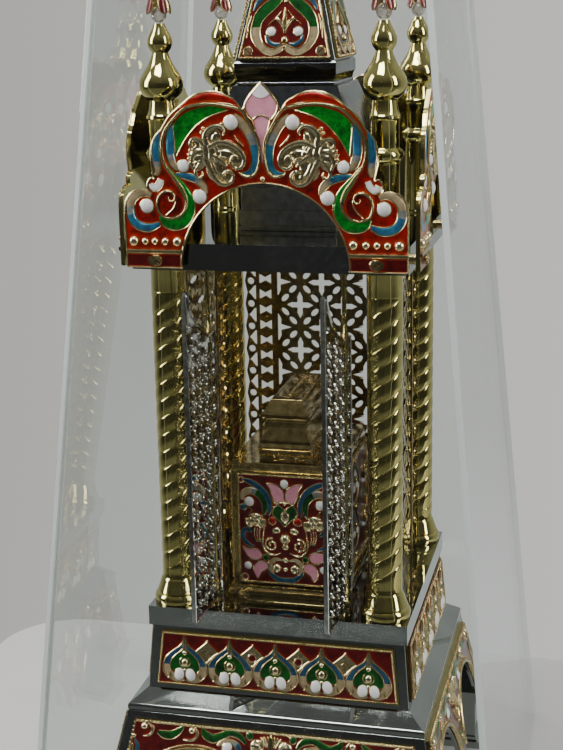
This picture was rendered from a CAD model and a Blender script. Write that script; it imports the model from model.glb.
"""Looks of an altar tabernacle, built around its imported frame. Sizes are in millimetres, times MM."""
import math

import bpy
from mathutils import Matrix, Vector
from mathutils.geometry import tessellate_polygon

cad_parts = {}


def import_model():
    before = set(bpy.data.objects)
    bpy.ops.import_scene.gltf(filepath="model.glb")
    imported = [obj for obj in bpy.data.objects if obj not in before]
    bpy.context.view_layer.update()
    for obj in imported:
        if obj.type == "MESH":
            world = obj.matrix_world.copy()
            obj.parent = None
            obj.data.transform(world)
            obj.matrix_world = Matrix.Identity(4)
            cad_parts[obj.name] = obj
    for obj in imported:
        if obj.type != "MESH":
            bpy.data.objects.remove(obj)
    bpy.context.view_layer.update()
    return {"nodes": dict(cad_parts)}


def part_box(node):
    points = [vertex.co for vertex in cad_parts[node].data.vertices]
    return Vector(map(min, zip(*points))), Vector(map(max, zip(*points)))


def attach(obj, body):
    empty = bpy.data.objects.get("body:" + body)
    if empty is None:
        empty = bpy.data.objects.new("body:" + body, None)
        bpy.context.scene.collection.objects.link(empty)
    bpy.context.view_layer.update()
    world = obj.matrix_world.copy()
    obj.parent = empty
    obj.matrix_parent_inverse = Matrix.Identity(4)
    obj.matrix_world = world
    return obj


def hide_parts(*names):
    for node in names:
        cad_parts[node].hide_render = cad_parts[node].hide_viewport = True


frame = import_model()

MM = 0.001
SIDES = ("front", "right", "back", "left")
CORNERS = {"front_left": (-1, -1), "front_right": (1, -1), "back_right": (1, 1), "back_left": (-1, 1)}


def low(node):
    """Lowest corner of a frame node, in millimetres."""
    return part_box(node)[0] / MM


def high(node):
    """Highest corner of a frame node, in millimetres."""
    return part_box(node)[1] / MM


DECK = high("plinth_slab").z          # the floor that the columns stand on
CANOPY_TOP = high("canopy_slab").z
CORNER = (low("column_front_right").x + high("column_front_right").x) / 2
FOOT_R = high("column_front_right").x - CORNER
COLLAR_R = 10.4

# --- Materials -----------------------------------------------------------------------------------


def new_material(name):
    """A material with its nodes, links and main shader."""
    mat = bpy.data.materials.new(name)
    mat.use_nodes = True
    nodes, links = mat.node_tree.nodes, mat.node_tree.links
    shader = nodes["Principled BSDF"]
    return mat, nodes, links, shader


def textured(nodes, links, kind, scale, stretch=(1, 1, 1), **sockets):
    """A texture node on object coordinates, in millimetres per feature."""
    coord = nodes.new("ShaderNodeTexCoord")
    mapping = nodes.new("ShaderNodeMapping")
    mapping.inputs["Scale"].default_value = [s / MM for s in stretch]
    links.new(coord.outputs["Object"], mapping.inputs["Vector"])
    tex = nodes.new(kind)
    tex.inputs["Scale"].default_value = 1 / scale
    for key, value in sockets.items():
        tex.inputs[key].default_value = value
    links.new(mapping.outputs["Vector"], tex.inputs["Vector"])
    return tex


def ramp(nodes, links, source, stops):
    """A colour ramp through (position, colour) stops."""
    node = nodes.new("ShaderNodeValToRGB")
    elements = node.color_ramp.elements
    while len(elements) < len(stops):
        elements.new(0.5)
    for element, (pos, colour) in zip(elements, stops):
        element.position = pos
        element.color = (*colour, 1)
    links.new(source, node.inputs["Fac"])
    return node


def spread(nodes, links, source, a, b, start=0.0, end=1.0):
    """Maps start to end onto a to b."""
    node = nodes.new("ShaderNodeMapRange")
    node.inputs["From Min"].default_value = start
    node.inputs["From Max"].default_value = end
    node.inputs["To Min"].default_value = a
    node.inputs["To Max"].default_value = b
    links.new(source, node.inputs["Value"])
    return node.outputs["Result"]


def blended(nodes, links, factor, a, b, mode="MIX"):
    """A mix of two colours, each of them a socket or a plain colour."""
    node = nodes.new("ShaderNodeMix")
    node.data_type = "RGBA"
    node.blend_type = mode
    links.new(factor, node.inputs["Factor"])
    for key, value in (("A", a), ("B", b)):
        if isinstance(value, tuple):
            node.inputs[key].default_value = (*value, 1)
        else:
            links.new(value, node.inputs[key])
    return node.outputs["Result"]


def bump(nodes, links, shader, source, strength, distance):
    """Makes a shader's surface uneven, by up to distance in millimetres."""
    node = nodes.new("ShaderNodeBump")
    node.inputs["Strength"].default_value = strength
    node.inputs["Distance"].default_value = distance * MM
    links.new(source, node.inputs["Height"])
    links.new(node.outputs["Normal"], shader.inputs["Normal"])


def metal(name, dark, light, rough, grain=14, dent=0.03, stretch=(1, 1, 1)):
    """Plated metal: slow changes of tone, finer changes of polish and a slightly uneven skin."""
    mat, nodes, links, shader = new_material(name)
    tone = textured(nodes, links, "ShaderNodeTexNoise", grain, stretch, Detail=4)
    colour = ramp(nodes, links, tone.outputs["Fac"], [(0.3, dark), (0.7, light)])
    links.new(colour.outputs["Color"], shader.inputs["Base Color"])
    fine = textured(nodes, links, "ShaderNodeTexNoise", grain / 6, stretch, Detail=5)
    links.new(spread(nodes, links, fine.outputs["Fac"], *rough), shader.inputs["Roughness"])
    if dent:
        bump(nodes, links, shader, tone.outputs["Fac"], 0.35, dent)
    shader.inputs["Metallic"].default_value = 1.0
    return mat


def enamel(name, deep, bright, depth=0.45, rough=0.3, grain=0.9, glow=None):
    """Clear coloured glaze over metal foil: grains of foil show through a glassy coat.

    The glow is the colour of the thin glaze beside raised wires."""
    mat, nodes, links, shader = new_material(name)
    cell = textured(nodes, links, "ShaderNodeTexVoronoi", grain)
    cloud = textured(nodes, links, "ShaderNodeTexNoise", 5, Detail=3)
    mix = nodes.new("ShaderNodeMath")
    mix.operation = "MULTIPLY_ADD"
    mix.inputs[1].default_value = 0.45
    links.new(cell.outputs["Color"], mix.inputs[0])
    links.new(spread(nodes, links, cloud.outputs["Fac"], 0.0, 0.7, 0.3, 0.75), mix.inputs[2])
    colour = ramp(nodes, links, mix.outputs[0], [(0.2, deep), (0.85, bright)])
    source = colour.outputs["Color"]
    if glow:
        near = nodes.new("ShaderNodeAmbientOcclusion")
        near.samples = 4
        near.inputs["Distance"].default_value = 2.6 * MM
        open_share = spread(nodes, links, near.outputs["AO"], 0, 1, 0.42, 0.9)
        source = blended(nodes, links, open_share, glow, source)
    links.new(source, shader.inputs["Base Color"])
    bump(nodes, links, shader, cloud.outputs["Fac"], 0.12, 0.12)
    shader.inputs["Metallic"].default_value = depth
    shader.inputs["Roughness"].default_value = rough
    shader.inputs["Coat Weight"].default_value = 0.6
    shader.inputs["Coat Roughness"].default_value = 0.04
    return mat


GOLD = metal("gold", (0.50, 0.43, 0.15), (0.60, 0.52, 0.20), (0.04, 0.09), dent=0)
GOLD_DARK = metal("gold_antique", (0.30, 0.22, 0.09), (0.58, 0.45, 0.20), (0.07, 0.18), grain=5, dent=0.01)
GILT = metal("gilt_wire", (0.46, 0.35, 0.16), (0.68, 0.54, 0.28), (0.12, 0.26), grain=3)
SILVER = metal("silver_polished", (0.30, 0.31, 0.30), (0.38, 0.39, 0.37), (0.02, 0.05), grain=40, dent=0)
SILVER_CUT = metal("silver_pierced", (0.46, 0.45, 0.42), (0.72, 0.71, 0.68), (0.03, 0.09), grain=4, dent=0.01)
STEEL_DARK = metal("silver_brushed", (0.12, 0.12, 0.13), (0.20, 0.20, 0.21), (0.07, 0.16), grain=4,
                   stretch=(1, 1, 0.05), dent=0.002)
CHASED = metal("gold_chased", (0.60, 0.48, 0.26), (0.92, 0.80, 0.50), (0.14, 0.28), grain=1.6, dent=0.02)
STEEL = metal("silver_grained", (0.34, 0.34, 0.35), (0.52, 0.52, 0.53), (0.26, 0.4), grain=4, dent=0)
RED = enamel("enamel_red", (0.12, 0.0, 0.0), (0.50, 0.006, 0.002), glow=(0.90, 0.07, 0.003))
CRIMSON = enamel("enamel_crimson", (0.05, 0.0, 0.0), (0.15, 0.002, 0.002), glow=(0.42, 0.015, 0.0))
GREEN = enamel("enamel_green", (0.0, 0.07, 0.005), (0.0, 0.34, 0.015), glow=(0.02, 0.55, 0.04))
FOREST = enamel("enamel_forest", (0.0, 0.02, 0.002), (0.0, 0.12, 0.008), glow=(0.01, 0.24, 0.02))
NAVY = enamel("enamel_navy", (0.01, 0.04, 0.10), (0.03, 0.11, 0.21), grain=2, glow=(0.06, 0.20, 0.28))
BLUE = enamel("enamel_blue", (0.02, 0.08, 0.18), (0.05, 0.22, 0.38), grain=2, glow=(0.10, 0.42, 0.55))
MIST = enamel("enamel_mist", (0.20, 0.20, 0.19), (0.34, 0.36, 0.34), grain=2)
BEIGE = enamel("enamel_beige", (0.34, 0.25, 0.14), (0.56, 0.42, 0.25), grain=2)
PINK = enamel("enamel_pink", (0.66, 0.24, 0.33), (0.76, 0.32, 0.42), depth=0.0, grain=3)
WHITE = enamel("enamel_white", (0.78, 0.74, 0.75), (0.86, 0.83, 0.84), depth=0.0, grain=3)
PALETTE = {"gold": GOLD, "gilt": GILT, "red": RED, "crimson": CRIMSON, "green": GREEN, "blue": BLUE,
           "mist": MIST, "beige": BEIGE, "pink": PINK, "white": WHITE, "dark": GOLD_DARK,
           "silver": SILVER_CUT, "chased": CHASED, "forest": FOREST, "navy": NAVY}
SLOT_NUMBERS = {name: i for i, name in enumerate(PALETTE)}


def clear_pane():
    """Thin clear pane: passes light straight through and mirrors at a glancing angle."""
    mat, nodes, links, shader = new_material("clear_pane")
    nodes.remove(shader)
    through = nodes.new("ShaderNodeBsdfTransparent")
    through.inputs["Color"].default_value = (0.955, 0.97, 0.965, 1)
    mirror = nodes.new("ShaderNodeBsdfGlossy")
    mirror.inputs["Color"].default_value = (1, 1, 1, 1)
    facing = nodes.new("ShaderNodeLayerWeight")
    facing.inputs["Blend"].default_value = 0.5
    glance = nodes.new("ShaderNodeMath")
    glance.operation = "POWER"
    links.new(facing.outputs["Facing"], glance.inputs[0])
    glance.inputs[1].default_value = 4.5
    dust = textured(nodes, links, "ShaderNodeTexNoise", 30, (1, 1, 0.2), Detail=6)
    links.new(spread(nodes, links, dust.outputs["Fac"], 0.006, 0.02), mirror.inputs["Roughness"])
    mix = nodes.new("ShaderNodeMixShader")
    links.new(spread(nodes, links, glance.outputs[0], 0.02, 0.8), mix.inputs[0])
    links.new(through.outputs[0], mix.inputs[1])
    links.new(mirror.outputs[0], mix.inputs[2])
    links.new(mix.outputs[0], nodes["Material Output"].inputs["Surface"])
    return mat


def crystal():
    """Cut glass with a faint swirl of colour."""
    mat, nodes, links, shader = new_material("crystal")
    shader.inputs["Transmission Weight"].default_value = 0.8
    shader.inputs["IOR"].default_value = 1.6
    swirl = textured(nodes, links, "ShaderNodeTexNoise", 3, Detail=2)
    tone = ramp(nodes, links, swirl.outputs["Fac"], [(0.3, (0.62, 0.50, 0.44)), (0.7, (0.9, 0.86, 0.82))])
    links.new(tone.outputs["Color"], shader.inputs["Base Color"])
    cuts = textured(nodes, links, "ShaderNodeTexVoronoi", 2.4)
    bump(nodes, links, shader, cuts.outputs["Distance"], 1.0, 0.6)
    shader.inputs["Roughness"].default_value = 0.03
    return mat


def plain(name, colour, rough, spot=60):
    """A nearly even colour with faint, slow spots."""
    mat, nodes, links, shader = new_material(name)
    noise = textured(nodes, links, "ShaderNodeTexNoise", spot, Detail=4)
    shade = [c * 0.96 for c in colour]
    tone = ramp(nodes, links, noise.outputs["Fac"], [(0.35, shade), (0.65, colour)])
    links.new(tone.outputs["Color"], shader.inputs["Base Color"])
    shader.inputs["Roughness"].default_value = rough
    return mat


PANE = clear_pane()
CRYSTAL = crystal()
PANE_EDGE = plain("pane_edge", (0.62, 0.66, 0.65), 0.15)
FLOOR = plain("floor", (0.43, 0.425, 0.42), 0.6)

# --- Curves --------------------------------------------------------------------------------------


def smooth(points, closed=False, steps=5):
    """A Catmull-Rom curve through points; any further values, such as widths, are blended too."""
    pts = [tuple(map(float, p)) for p in points]
    count = len(pts)
    out = []
    for i in range(count if closed else count - 1):
        a = pts[i - 1] if closed or i else pts[0]
        b, c = pts[i], pts[(i + 1) % count]
        d = pts[(i + 2) % count] if closed or i + 2 < count else pts[-1]
        for k in range(steps):
            t = k / steps
            out.append(tuple(0.5 * (2 * q + (r - p) * t + (2 * p - 5 * q + 4 * r - s) * t * t
                                    + (3 * q - p - 3 * r + s) * t ** 3)
                             for p, q, r, s in zip(a, b, c, d)))
    return out if closed else out + [pts[-1]]


def mirrored(points):
    return [(-p[0], *p[1:]) for p in points]


def looped(points):
    """Each side of a closed outline, as its two ends."""
    return list(zip(points, points[1:] + points[:1]))


def aside(path, share):
    """A line beside a path of (x, y, width) points, at a share of the half width to its left."""
    return [(x + nx * share * w / 2, y + ny * share * w / 2)
            for (x, y, w), (nx, ny) in zip(path, normals(path))]


def turned(x, y, points, angle):
    """Flat points turned by an angle in degrees, then moved to x, y."""
    c, s = math.cos(math.radians(angle)), math.sin(math.radians(angle))
    return [(x + u * c - v * s, y + u * s + v * c) for u, v in points]


def rings(count, n, closed=False):
    """Faces that join count rings of n points, each ring to the next."""
    faces = []
    for i in range(count if closed else count - 1):
        j = (i + 1) % count
        for k in range(n):
            m = (k + 1) % n
            faces.append((i * n + k, i * n + m, j * n + m, j * n + k))
    return faces


def caps(count, n):
    """The two end faces of count rings of n points."""
    return [tuple(range(n))[::-1], tuple(range((count - 1) * n, count * n))]


def arc(cx, cy, r, start, end, steps=16, ry=None):
    """Points on an arc, in degrees anticlockwise from the right."""
    ry = r if ry is None else ry
    out = []
    for i in range(steps + 1):
        a = math.radians(start + (end - start) * i / steps)
        out.append((cx + r * math.cos(a), cy + ry * math.sin(a)))
    return out


def spiral(cx, cy, r0, r1, start, turns, steps=14):
    """Points on a spiral from radius r0 to r1; negative turns run clockwise."""
    count = max(4, int(abs(turns) * steps))
    out = []
    for i in range(count + 1):
        t = i / count
        a = math.radians(start) + turns * 2 * math.pi * t
        r = r0 + (r1 - r0) * t
        out.append((cx + r * math.cos(a), cy + r * math.sin(a)))
    return out


def normals(path, closed=False):
    """The left-hand unit normal at each point of a flat path."""
    out = []
    for i, p in enumerate(path):
        a = path[i - 1] if closed or i else path[0]
        b = path[(i + 1) % len(path)] if closed or i + 1 < len(path) else path[-1]
        dx, dy = b[0] - a[0], b[1] - a[1]
        n = math.hypot(dx, dy) or 1
        out.append((-dy / n, dx / n))
    return out


def inset(outline, d):
    """A closed anticlockwise outline moved inwards by d."""
    return [(x + nx * d, y + ny * d) for (x, y), (nx, ny) in zip(outline, normals(outline, True))]


# --- Relief work ---------------------------------------------------------------------------------


class Relief:
    """Raised work on a flat panel, in millimetres: x across, y up and z out of the face."""

    def __init__(self):
        self.verts, self.faces, self.slots = [], [], []

    def add(self, verts, faces, slot):
        first = len(self.verts)
        self.verts += verts
        self.faces += [tuple(first + i for i in f) for f in faces]
        slots = slot if isinstance(slot, list) else [slot] * len(faces)
        self.slots += [SLOT_NUMBERS[s] for s in slots]

    def join(self, part, change=None, flip=1):
        """Takes in another relief, moved by change; flip -1 mirrors it front to back."""
        first = len(self.verts)
        moved = [(x, y, flip * z) for x, y, z in part.verts]
        self.verts += [tuple(change(*v)) for v in moved] if change else moved
        self.faces += [tuple(first + i for i in f[::flip]) for f in part.faces]
        self.slots += part.slots

    def both(self, draw):
        """Draws something twice, the second time mirrored left to right."""
        part = Relief()
        draw(part)
        self.join(part)
        part.faces = [f[::-1] for f in part.faces]
        self.join(part, lambda x, y, z: (-x, y, z))

    def fill(self, outline, slot, z0, z1, holes=(), walls=True):
        """A flat-topped plate from z0 to z1 with that outline."""
        loops = [[p[:2] for p in outline]] + [[p[:2] for p in h] for h in holes]
        flat = [p for loop in loops for p in loop]
        faces = tessellate_polygon([[Vector((x, y, 0)) for x, y in loop] for loop in loops])
        top = []
        for f in faces:
            (ax, ay), (bx, by), (cx, cy) = (flat[i] for i in f)
            turn = (bx - ax) * (cy - ay) - (by - ay) * (cx - ax)
            if abs(turn) > 1e-9:
                top.append(tuple(f) if turn > 0 else tuple(f)[::-1])
        self.add([(x, y, z1) for x, y in flat], top, slot)
        if not walls:
            return
        self.add([(x, y, z0) for x, y in flat], [f[::-1] for f in top], slot)
        for number, loop in enumerate(loops):
            area = sum(a[0] * b[1] - b[0] * a[1] for a, b in looped(loop))
            if (area > 0) == (number > 0):
                loop = loop[::-1]
            self.add([(x, y, z) for z in (z0, z1) for x, y in loop], rings(2, len(loop)), slot)

    def band(self, path, slots, base, height, switch=None, crown=6):
        """A rounded band along (x, y, width) points; the colour changes at the share switch."""
        turn = normals(path)
        rows = []
        wide = max(p[2] for p in path)
        for (x, y, w), (nx, ny) in zip(path, turn):
            rise = height * min(1, w / (0.45 * wide)) ** 0.5
            row = []
            for k in range(crown + 1):
                u = 2 * k / crown - 1
                z = base + rise * math.sqrt(max(0.0, 1 - u * u)) - (0.3 if abs(u) == 1 else 0)
                row.append((x + nx * u * w / 2, y + ny * u * w / 2, z))
            rows.append(row)
        verts = [v for row in rows for v in row]
        faces, colours = [], []
        n = crown + 1
        length = len(rows) - 1
        for i in range(length):
            for k in range(crown):
                a = i * n + k
                faces.append((a, a + n, a + n + 1, a + 1))
                share = (i + 0.5) / length
                late = switch is not None and share > switch
                near = switch is not None and abs(share - switch) < 0.06
                colours.append("mist" if near else slots[1] if late else slots[0])
        self.add(verts, faces, colours)

    def wire(self, path, r, base, slot="gilt", closed=False, sides=6, taper=False):
        """A round wire of radius r along flat points."""
        turn = normals(path, closed)
        verts, n = [], len(path)
        for i, ((x, y, *_), (nx, ny)) in enumerate(zip(path, turn)):
            t = i / max(1, n - 1)
            rr = r * (min(1, 4 * t + 0.3, 4 * (1 - t) + 0.3) if taper else 1)
            for k in range(sides):
                a = 2 * math.pi * (k + 0.5) / sides
                verts.append((x + nx * rr * math.cos(a), y + ny * rr * math.cos(a), base + rr * math.sin(a)))
        self.add(verts, rings(n, sides, closed) + ([] if closed else caps(n, sides)), slot)

    def edged(self, points, slots, base, height, r=0.32, switch=None):
        """A band with a wire along each edge."""
        path = smooth(points)
        self.band(path, slots if isinstance(slots, tuple) else (slots, slots), base, height, switch)
        for side in (1, -1):
            self.wire(aside(path, side), r, base + 0.1)

    def leaf(self, points, base, height, slot="gilt", groove=0.35):
        """A chased stroke with a groove down its middle."""
        path = smooth(points)
        self.band(path, (slot, slot), base, height)
        if groove:
            for share in (0.55, -0.55):
                self.wire(aside(path, share), groove, base + height * 0.72, slot, sides=5, taper=True)

    def dome(self, x, y, rx, slot, base, height=None, ry=None, turn=0, levels=4, sides=16):
        """A rounded stud."""
        ry = rx if ry is None else ry
        height = min(rx, ry) if height is None else height
        c, s = math.cos(math.radians(turn)), math.sin(math.radians(turn))
        verts = []
        for j in range(levels):
            a = math.pi / 2 * j / levels
            for k in range(sides):
                b = 2 * math.pi * k / sides
                u, v = rx * math.cos(a) * math.cos(b), ry * math.cos(a) * math.sin(b)
                z = base + height * math.sin(a) - (0.3 if j == 0 else 0)
                verts.append((x + u * c - v * s, y + u * s + v * c, z))
        verts.append((x, y, base + height))
        top = (levels - 1) * sides
        cap = [(top + k, top + (k + 1) % sides, levels * sides) for k in range(sides)]
        self.add(verts, rings(levels, sides) + cap, slot)

    def stud(self, x, y, r, base, slot="white", ry=None, turn=0, rim=0.4):
        """A round stone in a thin rim."""
        ry = r if ry is None else ry
        self.dome(x, y, r, slot, base, min(r, ry) * 0.55, ry, turn)
        self.wire(turned(x, y, arc(0, 0, r, 0, 360, 20, ry)[:-1], turn), rim, base, closed=True)

    def rope(self, path, r, base, pitch=2.2, closed=False):
        """A twisted rope moulding: a wire with slanting beads."""
        self.wire(path, r * 0.8, base, closed=closed)
        turn = normals(path, closed)
        points = list(path) + ([path[0]] if closed else [])
        travelled, due = 0.0, pitch / 2
        for i in range(len(points) - 1):
            (ax, ay), (bx, by) = points[i][:2], points[i + 1][:2]
            step = math.hypot(bx - ax, by - ay)
            while step and travelled + step >= due:
                t = (due - travelled) / step
                angle = math.degrees(math.atan2(by - ay, bx - ax))
                self.dome(ax + (bx - ax) * t, ay + (by - ay) * t, r, "gilt", base, r * 1.05,
                          r * 0.62, angle + 55, levels=3, sides=8)
                due += pitch
            travelled += step

    def screw(self, x, y, r, base, turn):
        """A slotted screw head: two half discs with the slot between them."""
        start = math.asin(0.32 / r)
        angles = [start + (math.pi - 2 * start) * k / 14 for k in range(15)]
        for side in (1, -1):
            half = [(r * math.cos(a), side * r * math.sin(a)) for a in angles][::side]
            half = turned(x, y, half, turn)
            self.fill(half, "chased", base - 0.6, base + r * 0.3)
            self.fill(inset(half, 0.5), "chased", base + r * 0.3, base + r * 0.42)
        self.wire(arc(x, y, r + 0.3, 0, 360, 18)[:-1], 0.35, base, closed=True)

    def mesh(self, name, angle=35):
        mesh = bpy.data.meshes.new(name)
        mesh.from_pydata([(x * MM, y * MM, z * MM) for x, y, z in self.verts], [], self.faces)
        used = sorted(set(self.slots))
        names = list(PALETTE)
        for number in used:
            mesh.materials.append(PALETTE[names[number]])
        where = {number: i for i, number in enumerate(used)}
        mesh.polygons.foreach_set("material_index", [where[s] for s in self.slots])
        mesh.polygons.foreach_set("use_smooth", [True] * len(self.faces))
        mesh.set_sharp_from_angle(angle=math.radians(angle))
        mesh.update()
        return mesh


def new_object(name, data):
    """Puts a new object into the scene."""
    obj = bpy.data.objects.new(name, data)
    bpy.context.scene.collection.objects.link(obj)
    return obj


def dress(mesh, material):
    """Gives a whole mesh one material."""
    mesh.materials.clear()
    mesh.materials.append(material)


def set_smooth(mesh, is_smooth):
    """Smooth or flat shading for every face of a mesh."""
    mesh.polygons.foreach_set("use_smooth", [is_smooth] * len(mesh.polygons))


def place(name, mesh, matrix=None, body="vessel", replaces=()):
    """Adds a piece to the scene and lets it ride on a body of the frame."""
    obj = new_object(name, mesh)
    if matrix is not None:
        obj.matrix_world = matrix
    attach(obj, body)
    if replaces:
        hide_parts(*replaces)
    return obj


def face_matrix(side, half, z, lean=0.0):
    """Stands a relief on a side face: half is the distance out, z the height of its foot."""
    return (Matrix.Rotation(math.pi / 2 * SIDES.index(side), 4, "Z")
            @ Matrix.Translation((0, -half * MM, z * MM))
            @ Matrix.Rotation(math.pi / 2 - math.radians(lean), 4, "X"))


def lean_of(inwards, height):
    """How far a side leans back, in degrees, when it draws in by that much over that height."""
    return math.degrees(math.atan2(inwards, height))


def on_sides(name, node, mesh, half, z, lean=0.0):
    """Stands the same relief on all four sides, in place of the frame's panels."""
    for side in SIDES:
        place(f"{name}_{side}", mesh, face_matrix(side, half, z, lean),
              replaces=(f"{node}_{side}",))


def lathe(profile, slot, relief=None, segments=48):
    """Turns (radius, height) points about the vertical axis."""
    relief = relief or Relief()
    verts, count = [], len(profile)
    for r, z in profile:
        for k in range(segments):
            a = 2 * math.pi * k / segments
            verts.append((r * math.cos(a), r * math.sin(a), z))
    relief.add(verts, rings(count, segments) + caps(count, segments), slot)
    return relief


def oblong(half_x, half_y, profile, x=0.0, y=0.0):
    """The points of a moulding: (outset, height) points carried round a rectangle."""
    return [(x + sx * (half_x + out), y + sy * (half_y + out), z)
            for out, z in profile for sx, sy in CORNERS.values()]


def moulding(half_x, half_y, profile, slot, relief=None, x=0.0, y=0.0):
    """A square or oblong moulding with closed ends."""
    relief = relief or Relief()
    count = len(profile)
    relief.add(oblong(half_x, half_y, profile, x, y), rings(count, 4) + caps(count, 4), slot)
    return relief


# --- Gables --------------------------------------------------------------------------------------

GABLE_EDGE = [(81, 0), (81, 30), (80.8, 34), (79.8, 39), (76.5, 43), (72, 44.6), (68, 44.5),
              (66.5, 44.4), (67.2, 46), (66.5, 49.5), (64.5, 51.5), (62.5, 51.2), (63.5, 56), (64.5, 61),
              (64, 68), (61.5, 74.5), (58.3, 77.5), (56, 81), (52.5, 86), (47.5, 90.3), (43, 94),
              (38, 97.3), (33, 98.8), (26, 99), (20, 97), (14.5, 92.8), (11.2, 89.6), (9.8, 90.5),
              (9.3, 92), (6.5, 97), (0, 104)]


def gable():
    """A red gable with scrolls, two acanthus medallions and a bud, over an open arch."""
    art = Relief()
    edge = [(81, 0)] + smooth(GABLE_EDGE[1:], steps=3)
    arch_r, arch_z = 48, 0.5
    arch = arc(0, arch_z, arch_r, 180, 0, 40)
    outline = edge + mirrored(edge)[::-1][1:] + arch
    art.fill(outline, "gold", 0, 1.7)
    art.fill(inset(outline, 0.7), "red", 1.7, 2.2)
    floor = 2.2

    def half(a):
        a.wire([(80.5, 0.6)] + edge[1:], 0.55, floor)
        a.wire(arc(0, arch_z, arch_r + 0.6, 0, 90, 30), 0.5, floor)
        a.wire([(47.6, 0.6), (80.6, 0.6)], 0.5, floor)
        # Foot: red strip with its screw, gold bar and a row of balls
        a.fill([(49.3, 1.6), (80.3, 1.6), (80.3, 7.6), (49.3, 7.6)], "crimson", floor, floor + 0.25)
        a.screw(62.7, 4.7, 2.7, floor + 1.2, 35)
        a.band([(48, 9.7, 3.3), (80.6, 9.7, 3.3)], ("gilt", "gilt"), floor, 1.6)
        for x, r in ((50.4, 2.9), (57.4, 2.35), (63.6, 2.2), (69.4, 2.2), (76, 3.05)):
            a.dome(x, 15.6, r, "chased", floor, levels=5)
        # Lower outer ring around a curl
        a.edged([(60.4, 25.4, 2.6), (66.4, 23.2, 4.8), (72, 24, 5), (76.2, 27.4, 5), (77.6, 33, 5),
                 (76.8, 38.2, 5), (73, 42, 4.6), (68.6, 43, 4), (65, 41.6, 2.4)], ("blue", "beige"), floor,
                0.8, switch=0.5)
        a.fill(smooth([(60, 31), (63, 28.4), (68, 27.2), (72.4, 28), (74.3, 33), (73, 38.2), (69, 39.6),
                       (65.3, 38.6), (62.4, 35)], closed=True), "red", floor, floor + 0.3)
        a.stud(67.5, 35.6, 4, floor + 0.2)
        # Green scroll leaf that winds round the bright curl
        a.edged([(55.2, 58.4, 0.8), (50.7, 52, 2.8), (45.2, 44.8, 4.8), (42.4, 38.2, 5.6), (42.9, 31.8, 6.2),
                 (46.7, 26.6, 6.6), (52.4, 25.2, 6.6), (57.4, 26.8, 5), (60, 29.8, 1)], "green", floor, 0.8)
        a.fill(arc(53.6, 36.4, 7, 0, 360, 24)[:-1], "crimson", floor, floor + 0.3)
        a.fill(smooth([(56.2, 30.4), (52.4, 34), (50.8, 38), (53, 38.4), (55.4, 41.6), (58.6, 40.4),
                       (59.8, 35.6), (58.8, 32)], closed=True), "red", floor + 0.3, floor + 0.5)
        a.wire(smooth([(50.8, 41), (50.5, 38), (52.2, 34.2), (56.2, 30.6)]), 0.45, floor + 0.5)
        # Main gold band
        a.leaf([(13.3, 55, 1), (11.2, 53.4, 1.9), (6.5, 52.8, 2), (3, 56, 2), (1.3, 64, 2),
                (2, 73, 2), (6.5, 81.5, 2.1), (11.5, 89, 2.1), (19, 91.3, 2.1), (30, 92.6, 2.1),
                (40, 91.3, 2.1), (45.4, 89, 2.1), (50, 84.6, 2.1), (55, 78.6, 2.1),
                (57.4, 72, 2.1), (57.6, 64, 2), (55.2, 57.5, 2), (51, 52, 2), (46, 45, 2),
                (44, 39, 1.9), (45.3, 33.5, 1.9), (49, 30, 1.9), (54.5, 28.8, 1.9), (59.4, 31, 1.8),
                (61.3, 36, 1.8), (60.4, 41, 1.7), (56.8, 44, 1.6), (52.8, 43.8, 1.5), (50.9, 41.2, 1.4),
                (52, 38.8, 1.3), (54.3, 39.2, 1.1), (54.3, 40.9, 0.7)], floor, 1.7)
        # Inner bands of the medallion
        a.edged([(15.4, 86.4, 1.6), (12, 82.8, 4.6), (8.4, 78.6, 5.4), (5.3, 72.6, 5.4), (4, 66.2, 4.8),
                 (4.2, 60, 4.4), (6.2, 55.8, 3.4), (9.4, 54.2, 2.4), (12, 54.6, 1.2)], ("beige", "blue"),
                floor, 0.8, switch=0.36)
        crescent = smooth([(18.6, 89), (24.4, 90.6), (30.6, 91), (40, 88.9), (45.8, 85.8), (49.9, 81.6),
                           (50.2, 77), (49.6, 70.6), (48.9, 63.8)])
        hollow = smooth([(48.9, 63.8), (45.6, 70), (42, 75.2), (36.8, 80.8), (30.1, 85.2), (24.2, 87.4),
                         (18.6, 89)])
        a.fill(crescent[:-1] + hollow[:-1], "green", floor, floor + 0.5)
        a.wire(hollow, 0.4, floor + 0.5)
        a.wire(crescent[-16:], 0.35, floor + 0.5)
        a.edged([(50.6, 81.6, 0.8), (52.2, 76.6, 4.4), (52.8, 70.6, 5.6), (52.8, 64.6, 5.2),
                 (51.2, 59.4, 4.4), (48.2, 57, 2.8)], ("blue", "beige"), floor, 0.8, switch=0.66)
        a.edged([(58.6, 77.4, 0.8), (60.4, 72.4, 3.8), (61.2, 66, 4.8), (61, 60.6, 4.6), (60.5, 56.2, 3.8),
                 (61.4, 53, 2)], ("blue", "beige"), floor, 0.8, switch=0.66)
        a.edged([(58.6, 50.6, 3.6), (59.8, 47.8, 4.2), (61.8, 45.9, 4.4), (64, 46.4, 4), (64.9, 48.2, 3.2)],
                "white", floor, 0.7)
        a.edged([(49.8, 54, 0.8), (46, 52.8, 3.2), (41, 51.8, 4.2), (37, 50, 4.2), (33.8, 46.8, 3.8),
                 (32.5, 43, 2)], ("blue", "beige"), floor, 0.8, switch=0.6)
        a.edged([(12.2, 90.5, 0.8), (17, 93.8, 3.4), (24, 95.6, 5.4), (31, 95.8, 5.8), (38, 94, 4.8),
                 (43, 91.8, 2.6), (46.4, 90, 0.8)], "red", floor, 0.7, r=0.3)
        for x, y, r in ((17.3, 82.3, 4.1), (45.3, 58.3, 3.5), (36.4, 41.2, 4)):
            a.stud(x, y, r, floor + 0.3, rim=0.3)
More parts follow.
